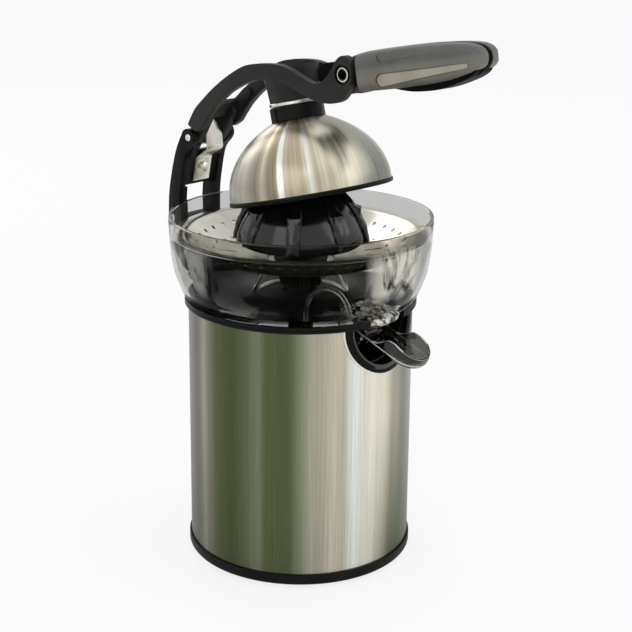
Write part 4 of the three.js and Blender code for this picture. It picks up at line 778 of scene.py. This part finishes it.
def trough_plan(inset):
    """Plan of the trough with its round tip, as (y, x) points."""
    half = trough_half - inset
    ends = [(tip_y - half * sin(pi * i / 24), half * cos(pi * i / 24)) for i in range(25)]
    return [(13 - inset, half), *ends, (13 - inset, -half)]


def round_under(piece, width, level):
    """Round the lower outer edge of a piece in edit mode."""
    select_where(piece, 'EDGE', lambda line: all(abs(v.co.z / mm - level) < 0.01 for v in line.verts))
    bpy.ops.mesh.bevel(offset=width * mm, segments=7, affect='EDGES', clamp_overlap=True)
    leave_edit()


trough = plate('spout', trough_plan(0), 2, 17)
spin(trough, -90, 'Y')
round_under(trough, 6, 2)
hollow = plate('hollow', trough_plan(2), 4, 30)
spin(hollow, -90, 'Y')
round_under(hollow, 4.6, 4)
carve(trough, hollow)
lowered = plate('lowered', [(14, 6.5), (14, 30), (-60, 30), (-60, 9), (-46, 10.8), (-36, 13.6),
                            (-29, 15), (-24, 14.6), (-20.5, 12), (-16, 8), (-12, 6.5)], -30, 30)
carve(trough, lowered)
soften(trough, 0.9, 4, 50)
knuckle = plate('knuckle', link((0, 0, 4.4), (0, 3, 2.2)), -6.6, 6.6)
soften(knuckle, 0.4)
weld(trough, knuckle)
shift(trough, 0, spout_y, spout_z, about_x=spout_tilt)
clear_spout, *_ = clear_moulding('clear_spout', (0.14, 0.14, 0.13), 0.0, 1.6, 1.0)
fit(trough, clear_spout, 'spout', 'clear_plastic', 'spout_trough')


def on_brim(x, y, z):
    """Whether a place (mm) is on the trough's top edge, which gets a painted highlight."""
    tilt = radians(spout_tilt)
    along = (y - spout_y) * cos(tilt) + (z - spout_z) * sin(tilt)
    up = (z - spout_z) * cos(tilt) - (y - spout_y) * sin(tilt)
    out = abs(x) if along > tip_y else sqrt(x * x + (along - tip_y) ** 2)
    return 11.5 < out and up > 5.6 and (out < 12.9 or along > -20)


# Painted highlight: the top edge of the trough gets a pale, less clear finish that stands for light along
# the brim.
light_edge, shader, add = clear_moulding('light_edge', (0.86, 0.84, 0.78), 0.04, 1.2, 1.0)
shader.inputs['Transmission Weight'].default_value = 0.45
finish_part(trough, light_edge, on_brim)

spout_pin = turned('spout_pin', [(0, -17), (1.6, -17), (2, -16.6), (2, 16.6), (1.6, 17), (0, 17)], 32)
along_x(spout_pin, spout_y, spout_z)
fit(spout_pin, bright, 'housing', 'bright_steel', 'spout_pin')


# Rear post: a charcoal moulded fork, solid at its foot, with an open window, a slat that
# holds the leaf spring and two crooks for the hinge pin. Two screws hold it from below.
def curve_through(points, steps=6):
    """A smooth line through points, as a bent batten would lie."""
    full = [points[0], *points, points[-1]]
    line = []
    for a, b, c, d in zip(full, full[1:], full[2:], full[3:]):
        for i in range(steps):
            t = i / steps
            line.append(tuple(
                0.5 * (2 * q + (r - p) * t + (2 * p - 5 * q + 4 * r - s) * t * t
                       + (3 * q - p - 3 * r + s) * t ** 3)
                for p, q, r, s in zip(a, b, c, d)))
    return [*line, points[-1]]


hinge_y, hinge_z, stop_z = 88.5, 272.5, 267.4
crook = [(hinge_y + 0.2 + 5.9 * cos(radians(a)), hinge_z + 0.2 + 5.9 * sin(radians(a)))
         for a in range(10, 209, 11)]
post = plate('rear_post', [
    *curve_through([(93.0, 176.4), (101.2, 180.2), (107.2, 189.9), (109, 204.3), (108.4, 229.3),
                    (104.9, 247.5), (100.6, 261.9), (95.8, 272.0)]),
    *crook,
    *curve_through([(85.6, 267.2), (89.4, 263.4), (92.3, 257.8), (95.7, 242.7), (97.7, 228.3), (97.9, 210),
                    (96.1, 195.6), (90.6, 186), (81.5, 181.9)]),
    (81.5, 176.4)], -19.6, 19.6)
carve(post, block('fork_tool', (-14.5, 14.5), (70, 125), (236, 300)),
      block('window_tool', (-12.4, 12.4), (70, 125), (214, 240)))
weld(post, plate('slat', [(98.6, 237), (102.6, 237), (96.1, 262), (92.1, 262)], -15, 15))
for side in (-1, 1):
    boss = plate('boss', link((hinge_y, stop_z, 2.1), (94.5, 259, 2.8)), *sorted((side * 8.4, side * 15)))
    weld(post, boss)
pin_tool = tube('pin_tool', 0, 2.7, -30, 30, 32)
along_x(pin_tool, hinge_y, hinge_z)
carve(post, pin_tool)
soften(post, 0.9, 3, 40)
post_black = moulded('post_black', grey(0.004), (0.009, 0.009, 0.008), 0.42, 520, 0.05, shine=0.12)
fit(post, post_black, 'housing', 'charcoal_plastic', 'rear_post')

hinge_pin = turned('hinge_pin', [
    (0, -19.8), (1.9, -19.8), (2.6, -19.3), (2.6, 19.3), (1.9, 19.8), (0, 19.8)], 40)
along_x(hinge_pin, hinge_y, hinge_z)
fit(hinge_pin, bright, 'housing', 'bright_steel', 'hinge_pin')
stop_pin = tube('stop_pin', 0, 1.15, -8.8, 8.8, 24)
along_x(stop_pin, hinge_y, stop_z)
soften(stop_pin, 0.2)
fit(stop_pin, bright, 'housing', 'bright_steel', 'stop_pin')


# Leaf spring: a strip of bright spring steel screwed to the slat, stepped forward between
# the cheeks and cut to a point at the top, which holds the raised arm.
def strip(path, thickness):
    """Outline of a bent strip from its outer (y, z) path."""
    inner = []
    for i, (y, z) in enumerate(path):
        before, after = path[max(0, i - 1)], path[min(len(path) - 1, i + 1)]
        along = Vector((after[0] - before[0], after[1] - before[1])).normalized()
        inner.append((y - thickness * along.y, z + thickness * along.x))
    return [*path, *reversed(inner)]


leaf = plate('leaf_spring', strip(
    [(96.6, 239.2), (94.9, 247), (93.3, 254.6), (92.8, 256.2), (91.8, 257.2), (83.2, 262.4),
     (82.0, 263.3), (81.5, 264.6), (81.6, 266), (82.9, 276), (83.0, 284.6)], -0.9), -7.5, 7.5)
for side in (-1, 1):
    edit(leaf)
    bpy.ops.mesh.bisect(plane_co=(side * 7.5 * mm, 0, 276.6 * mm), plane_no=(side * 8.2, 0, 7.5),
                        use_fill=True, clear_outer=True)
    leave_edit()
soften(leaf, 0.2, 2)
fit(leaf, bright, 'housing', 'bright_steel', 'leaf_spring')

leaf_screw = turned('leaf_screw', [
    (0, -4.3), (1.6, -4.3), (1.6, 1.2), (3.2, 1.2), (3.2, 1.9), (2.8, 2.6), (1.9, 2.9), (0, 2.9)], 32)
cross = block('cross', (-2, 2), (-0.35, 0.35), (1.9, 3.2))
weld(cross, block('cross_arm', (-0.35, 0.35), (-2, 2), (1.9, 3.2)))
carve(leaf_screw, cross)
shift(leaf_screw, 0, 93.6, 248.9, about_x=77)
fit(leaf_screw, bright, 'housing', 'bright_steel', 'leaf_screw')


# Lever arm: one charcoal moulding of two S-curved cheeks, tied by a web at the back, by the
# round stem that carries the dome, and by knuckles that turn on the hinge pin.
cheek_near, cheek_far = 14.5, 19.6
cheek = plate('lever_arm', [
    *curve_through([(88.0, 281.9), (81.4, 292.5), (73.4, 300.2), (64.5, 307.8), (53.8, 315.5),
                    (40.5, 323.4), (28.5, 328.0), (8.7, 330.1), (-4.5, 328.9), (-17.4, 324.2),
                    (-27.7, 321.3), (-35.4, 323.8), (-42.0, 330.6), (-46.2, 337.4),
                    (-51.3, 340.6), (-56.6, 338.6), (-58.6, 333), (-58.3, 326), (-56.8, 321),
                    (-53.0, 314.6), (-46.9, 311.2), (-38, 310.0), (-27.8, 310.8), (-13.2, 315.0),
                    (-4.5, 317.8), (4.3, 319.6), (13.2, 319.9), (27.9, 317.0), (44.7, 309.4),
                    (54.6, 302.6), (64.4, 293.4), (73.6, 281.6)], 4),
    (79.6, 277.8), (82.8, 278.9), (85.6, 280.3)], cheek_near, cheek_far)
arm = copy(cheek, 'lever_arm_frame', -cheek_near - cheek_far)
weld(arm, cheek)
weld(arm, plate('web', [(77.6, 286.2), (81.6, 284.4), (82.0, 288.4), (76.4, 297.6), (73.6, 295.4)],
                -15, 15),
     plate('barrel', link((hinge_y + 0.8, hinge_z, 4.4), (88.4, 284.2, 1.2)), -8.6, 8.6))
for side in (-1, 1):
    for first, second, near, far in (
            ((hinge_y, hinge_z, 5.1), (77.2, 289.5, 4.6), 8.4, 14.2),
            ((77.2, 289.5, 4.6), (63.5, 303.0, 3.6), 12.4, 15.0)):
        knuckle = plate('knuckle', link(first, second), *sorted((side * near, side * far)))
        weld(arm, knuckle)
carve(arm, plate('slimmer', [(-20, 300), (-20, 310.0), (-30, 312.0), (-38, 312.8), (-46, 315), (-53, 320),
                             (-62, 320), (-62, 300)], 14, 22))
dome_y, dome_z, dome_lean = -9.54, 244.37, -13.8
stem = turned('stem', [(0, 62.8), (16.8, 62.8), (17.4, 72), (19.2, 84.8), (0, 84.8)], 96)
shift(stem, 0, dome_y, dome_z, about_x=dome_lean)
weld(arm, stem)
bolt_y, bolt_z = -51.5, 329
holes = turned('holes', [
    (0, -30), (6.2, -30), (6.2, -17.4), (3.2, -17.4), (3.2, 17.4), (6.2, 17.4), (6.2, 30), (0, 30)], 40)
along_x(holes, bolt_y, bolt_z)
pin_hole = tube('pin_hole', 0, 2.9, -30, 30, 32)
along_x(pin_hole, hinge_y, hinge_z)
carve(arm, holes, pin_hole)
soften(arm, 0.8, 3, 42)
charcoal = moulded('charcoal_plastic', (0.010, 0.010, 0.009), (0.019, 0.019, 0.017), 0.46, 520, 0.05)
fit(arm, charcoal, 'arm', 'charcoal_plastic', 'arm_frame')


# Pressing dome: a spun stainless shell over a ribbed insert, with a black bead rolled on
# its rim, a black collar and a pale washer under the arm's stem.
def on_dome(piece):
    """Put a piece drawn upright on the dome's own axis."""
    shift(piece, 0, dome_y, dome_z, about_x=dome_lean)


def shell_line(inset, steps=22):
    """The shell's profile from the rim to the collar, set in by a thickness."""
    line = []
    for i in range(steps + 1):
        t = i / steps
        r, s = (sum(k * (1 - t) ** (3 - n) * t ** n * p[axis] for n, (k, p) in enumerate(zip(
            (1, 3, 3, 1), ((53.35, 4.8), (53.35, 25.3), (38.4, 41.5), (17, 50.6))))) for axis in (0, 1))
        line.append((r - inset * (1 - 0.35 * t * t), s - inset * t))
    return line


rim = turned('dome_bead', [
    (50.8, 1.3), (51.2, 1.0), (53.2, 1.0), (53.9, 1.4), (54.1, 2.0), (53.8, 2.3), (54.1, 2.6), (54.1, 3.4),
    (53.8, 3.9), (53.3, 4.1), (50.8, 4.1)], 160)
on_dome(rim)
fit(rim, black, 'arm', 'black_plastic', 'dome_rim')

shell = turned('dome_shell', [
    (53.35, 4.0), *shell_line(0), (3.1, 51.4), (3.1, 50.6), *reversed(shell_line(0.8)), (52.55, 4.0)], 192)
on_dome(shell)
spun_steel, shader, add = new_material('spun_steel', {'Metallic': 1})
centred = join(add, 'VectorMath', 'SUBTRACT', own_place(add),
               (0, dome_y * mm, dome_z * mm))
upright = add('Mapping', {'Rotation': (radians(-dome_lean), 0, 0)}, Vector=centred).outputs[0]
fan = noise(add, round_place(add, upright, 17, 9), 1, 5, Roughness=0.62, Distortion=0.3)
rings = noise(add, stretched(add, upright, (30, 30, 2600)), 1, 3)
axes = add('SeparateXYZ', {}, in0=upright).outputs
swing = join(add, 'Math', 'ARCTAN2', product(add, axes['Y'], -1.0), product(add, axes['X'], -1.0))
heading = join(add, 'Math', 'ADD', swing, spread(add, fan, -0.03, 0.03, 0.2, 0.8))
# Painted reflections: bands of steel tones, from bronze to white, by the heading round the dome's axis,
# stand for the studio mirrored in the spun shell.
tan, bronze, straw, white = (
    (0.42, 0.36, 0.26), (0.28, 0.24, 0.17), (0.76, 0.7, 0.55), (0.93, 0.93, 0.9))
painted_fan_bands = [(0, (0.5, 0.46, 0.38)), (40, straw), (75, bronze), (110, straw), (140, (0.6, 0.59, 0.54)),
             (160, (0.43, 0.41, 0.35)), (173, (0.48, 0.45, 0.38)), (183, (0.3, 0.27, 0.21)),
             (189, (0.62, 0.57, 0.43)), (194.5, bronze), (201.2, (0.36, 0.31, 0.22)), (203.1, white),
             (204.8, white), (206.6, (0.42, 0.37, 0.28)), (213, tan), (220, (0.44, 0.37, 0.27)),
             (225, (0.88, 0.86, 0.76)), (230, (0.46, 0.42, 0.31)), (236, (0.72, 0.66, 0.52)),
             (246, (0.7, 0.65, 0.51)), (253, (0.68, 0.64, 0.53)), (259, (0.5, 0.46, 0.38)),
             (265, (0.36, 0.34, 0.28)), (273, (0.27, 0.27, 0.23)), (292, (0.25, 0.25, 0.23)),
             (320, straw), (360, (0.5, 0.46, 0.38))]
painted_spun_reflections = ramp(add, spread(add, heading, 0, 1, -pi, pi),
                 *[(degree / 360, color) for degree, color in painted_fan_bands])
# Painted light: the shell is painted up to half again lighter towards the top, streaked by the spinning
# marks.
rise = spread(add, axes['Z'], 1.0, 1.55, 0.014, 0.036)
brush_streaks_and_painted_top_light = product(add, rise, drift(add, fan, 0.74, 1.2))
feed(shader, 'Base Color', scaled(add, painted_spun_reflections, brush_streaks_and_painted_top_light))
feed(shader, 'Roughness', drift(add, fan, 0.26, 0.4))
dent(shader, add, rings, 0.1, 0.02)
fit(shell, spun_steel, 'arm', 'brushed_steel', 'dome_shell')

insert = turned('dome_insert', [
    *shell_line(1.3), (3.1, 49.3), (3.1, 47.3), *reversed(shell_line(3.3))], 96)
rib_outer = [p for p in shell_line(2.6) if p[1] > 8][:-1]
rib_inner = [p for p in shell_line(5.7) if p[1] > 8][1:-1]
for i in range(6):
    rib = plate('insert_rib', [*rib_outer, *reversed(rib_inner)], -1, 1)
    spin(rib, 60 * i)
    weld(insert, rib)
on_dome(insert)
fit(insert, reamer_black, 'arm', 'black_plastic', 'dome_insert')

collar = turned('dome_collar', [
    (3.1, 51.7), (15, 51.7), (15, 50.9), (16.9, 50.9), (17.2, 51.2), (17.2, 59.7), (16.8, 60.1),
    (3.1, 60.1)], 128)
for side in (-1, 1):
    tab = block('collar_tab', sorted((side * 15, side * 18.2)), (-3.4, 3.4), (49.6, 59.4))
    soften(tab, 0.4)
    spin(tab, -20)
    weld(collar, tab)
on_dome(collar)
fit(collar, black, 'arm', 'black_plastic', 'dome_collar')
washer = turned('stem_washer', [
    (3.1, 60.4), (17.3, 60.4), (17.6, 60.7), (17.6, 62.2), (17.3, 62.5), (3.1, 62.5)], 128)
on_dome(washer)
fit(washer, bright, 'arm', 'bright_steel', 'stem_washer')


# Handle: two satin grey shells clamped on a black core that shows as a seam round the end
# and swells to a finger rest below. Its tang is bolted between the arm's lugs.
handle_tilt = 10.8


def on_handle(piece):
    """Put a piece drawn along -Y from the bolt in its place."""
    shift(piece, 0, bolt_y, bolt_z, about_x=-handle_tilt)


def bar(name, stations, corner, segments=6):
    """A bar along -Y from (y, half height, half width, lift) stations, with round corners."""
    y0, tall, wide, lift = stations[0]
    bpy.ops.object.select_all(action='DESELECT')
    bpy.ops.mesh.primitive_plane_add(size=1, rotation=(pi / 2, 0, 0))
    piece = bpy.context.object
    piece.name = name
    piece.scale = (2 * wide * mm, 2 * tall * mm, 1)
    piece.location = (0, y0 * mm, lift * mm)
    settle(piece)
    edit()
    bpy.ops.mesh.bevel(offset=corner * mm, segments=segments, affect='VERTICES')
    bpy.ops.mesh.select_all(action='SELECT')
    for (y0, t0, w0, l0), (y1, t1, w1, l1) in zip(stations, stations[1:]):
        draw_out(0, y1 - y0, l1 - l0)
        bpy.ops.transform.resize(value=(w1 / w0, 1, t1 / t0), center_override=(0, y1 * mm, l1 * mm))
    leave_edit()
    return piece


grip = bar('grip', [
    (7.0, 9.8, 15.8, -2.0), (6.4, 10.3, 16.4, -1.9), (3.0, 10.8, 16.9, -1.6), (-7, 11.6, 16.9, -0.5),
    (-11, 11.9, 16.0, -0.2), (-16, 12.1, 14.7, 0.1), (-28, 12.3, 13.8, 0.1), (-40, 12.3, 14, 0.1),
    (-50, 12.1, 14, 0), (-60, 11.7, 13.8, -0.1), (-70, 11.0, 13.4, -0.1), (-78, 10.1, 12.9, 0),
    (-84, 9.1, 12.4, 0.2), (-88.6, 8.2, 11.8, 0.2), (-91.8, 7.1, 11.2, 0.2), (-94.2, 5.9, 10.4, 0.1),
    (-95.9, 4.5, 9.3, 0), (-96.9, 2.9, 7.6, 0), (-97.4, 1.1, 4.6, 0)], 5.2)
carve(grip, block('lug_seat', (-30, -10.6), (-8.6, 20), (-30, 30)),
      block('lug_seat_2', (10.6, 30), (-8.6, 20), (-30, 30)),
      block('seam', (-2.3, 2.3), (-120, -52), (-30, 30)),
      block('wedge_seat', (-8.7, 8.7), (-92, -30), (-30, -6.5)))
for side in (-1, 1):
    for name, outline, near, far in (
            ('panel_seat', link((-25.4, -6.2, 4.1), (-88, -3.7, 1.7)), 12.2, 16),
            ('thumb_groove', link((-27.6, 7.6, 3.8), (-88, 8.4, 2.2)), 13.1, 16)):
        carve(grip, plate(name, outline, *sorted((side * near, side * far))))
soften(grip, 0.5, 3, 45)
on_handle(grip)
grey_grip, shader, add = new_material('grey_grip', {'Specular IOR Level': 0.35})
place = own_place(add)
lying = add('Mapping', {'Rotation': (radians(handle_tilt), 0, 0)}, Vector=place)
heights = add('SeparateXYZ', {}, in0=lying.outputs[0])
cloud = noise(add, place, 60, 3)
grip_axis = bolt_z * cos(radians(handle_tilt)) + bolt_y * sin(radians(handle_tilt))
# Painted light and shade by height: darker along the bottom, a warm beige band below the middle where the
# lower faces catch warm light, and grey above.
tint = ramp(add, spread(add, heights.outputs['Z'], 0, 1, (grip_axis - 12) * mm, (grip_axis + 13) * mm),
            (0.0, (0.1, 0.096, 0.084)), (0.3, (0.18, 0.166, 0.135)), (0.5, (0.15, 0.146, 0.13)),
            (0.6, (0.108, 0.11, 0.101)), (0.85, (0.12, 0.122, 0.113)), (1.0, (0.13, 0.132, 0.123)))
feed(shader, 'Base Color', scaled(add, tint, drift(add, cloud, 0.9, 1.12)))
feed(shader, 'Roughness', drift(add, cloud, 0.34, 0.48))
dent(shader, add, noise(add, place, 480, 4), 0.25, 0.05)
fit(grip, grey_grip, 'arm', 'grey_grip', 'handle_grip', 'handle_end_cap')

beige = moulded('beige_panel', (0.31, 0.285, 0.23), (0.39, 0.362, 0.3), 0.5, 480, 0.05, 60)
for side, name in ((-1, 'left'), (1, 'right')):
    panel = plate(f'handle_panel_{name}', link((-25.4, -6.2, 3.8), (-88, -3.7, 1.4)),
                  *sorted((side * 11.6, side * 13.3)))
    soften(panel, 0.4, 3, 50)
    on_handle(panel)
    fit(panel, beige, 'arm', 'beige_panel', f'handle_panel_{name}')

core = bar('core', [(-2, 7, 7.6, 0), (-50, 7.2, 8.6, 0.2), (-86, 4.6, 7.2, 0.2), (-89, 4, 6.6, 0.2)], 3)
tang = plate('tang', link((0, 0, 8.4), (18, 1.2, 7.4)), -14.2, 14.2)
carve(tang, block('tang_end', (-20, 20), (-30, -6.9), (-20, 20)))
soften(tang, 0.6, 3, 45)
weld(core, tang)
finger_rest = [(-30.3, -4), *curve_through(
    [(-30.3, -12.2), (-39.2, -14.3), (-47.5, -15.4), (-58.5, -15.8), (-64.8, -15.4), (-71.6, -14.4),
     (-78.3, -13.0), (-84.9, -11.3), (-89.5, -9.3), (-92.0, -7.2)], 4), (-89, -4)]
keel = plate('keel', finger_rest, -8.4, 8.4)
soften(keel, 1.2, 4, 45)
spine = plate('spine', [(-50, 11.7), *curve_through(
    [(-60, 11.5), (-77, 10.3), (-86, 8.6), (-91.3, 6.9), (-94.5, 4.6), (-96.3, 2.2), (-96.8, 0),
     (-96.4, -2.4), (-94.9, -5.2), (-92.0, -8.2)], 4), (-88, -10.4), (-80, -12), (-50, -12)],
              -2.25, 2.25)
weld(core, keel, spine)
bolt_hole = tube('bolt_hole', 0, 3.2, -30, 30, 32)
along_x(bolt_hole)
carve(core, bolt_hole)
on_handle(core)
core_black = moulded('core_black', grey(0.0015), grey(0.004), 0.5, shine=0.04)
fit(core, core_black, 'arm', 'black_plastic', 'handle_core')

bolt = turned('handle_bolt', [
    (0, -19.5), (3.7, -19.5), (4.4, -19.3), (4.6, -18.7), (4.6, -17.5), (3, -17.5), (3, 18.6), (0, 18.6)],
    48)
socket = tube('socket', 0, 2.9, -21, -14, 6)
carve(bolt, socket)
along_x(bolt, bolt_y, bolt_z)
# Painted shade: all of the bolt but the outer face of its head is near black, for the shade in its hex
# socket; that face is bright steel.
socket_shade = metal('socket_shade_steel', (0.012, 0.012, 0.011), (0.05, 0.048, 0.044), 0.3, 0.45, (60, 60, 60), 0.0005)
fit(bolt, socket_shade, 'arm', 'bright_steel', 'handle_bolt')
finish_part(bolt, bright, lambda x, y, z: x < -19.2 and (y - bolt_y) ** 2 + (z - bolt_z) ** 2 > 9)
nut = turned('handle_nut', [(3.2, 17.5), (5.2, 17.5), (5.2, 19.2), (4.8, 19.6), (3.2, 19.6)], 6)
along_x(nut, bolt_y, bolt_z)
fit(nut, bright, 'arm', 'bright_steel', 'handle_nut')


# What is left showing under the deck and inside the body keeps its own shape: the inner
# housing, the gearbox, the motor, the drive's shaft, collar and spring, and the screws.
nylon = moulded('nylon', (0.55, 0.51, 0.42), (0.68, 0.64, 0.54), 0.42, 380, 0.03, 70)
inner_black = moulded('inner_black', (0.011, 0.011, 0.012), (0.02, 0.02, 0.021), 0.5, 340, 0.06)
enamel = metal('enamelled_copper', (0.32, 0.1, 0.04), (0.5, 0.19, 0.08), 0.25, 0.4, (900, 900, 60))
brass = metal('brass', (0.45, 0.3, 0.11), (0.62, 0.45, 0.2), 0.22, 0.38)
laminated = metal('laminated_steel', grey(0.18), (0.36, 0.36, 0.35), 0.35, 0.55, (30, 30, 2200), 0.03)
for material, names in (
        (inner_black, ('inner_housing', 'gear_tray', 'gear_cover', 'microswitch', 'motor_frame')),
        (nylon, ('output_gear', 'idler_gear', 'motor_pinion', 'shaft_bush', 'cooling_fan')),
        (enamel, ('winding_top', 'winding_bottom')),
        (brass, ('commutator', 'thrust_collar')),
        (laminated, ('stator', 'armature')),
        (bright, ('drive_shaft', 'motor_shaft', 'idler_pin', 'return_spring', 'post_screw_1',
                  'post_screw_2', 'dome_screw'))):
    for name in names:
        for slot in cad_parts[name].material_slots:
            slot.material = material
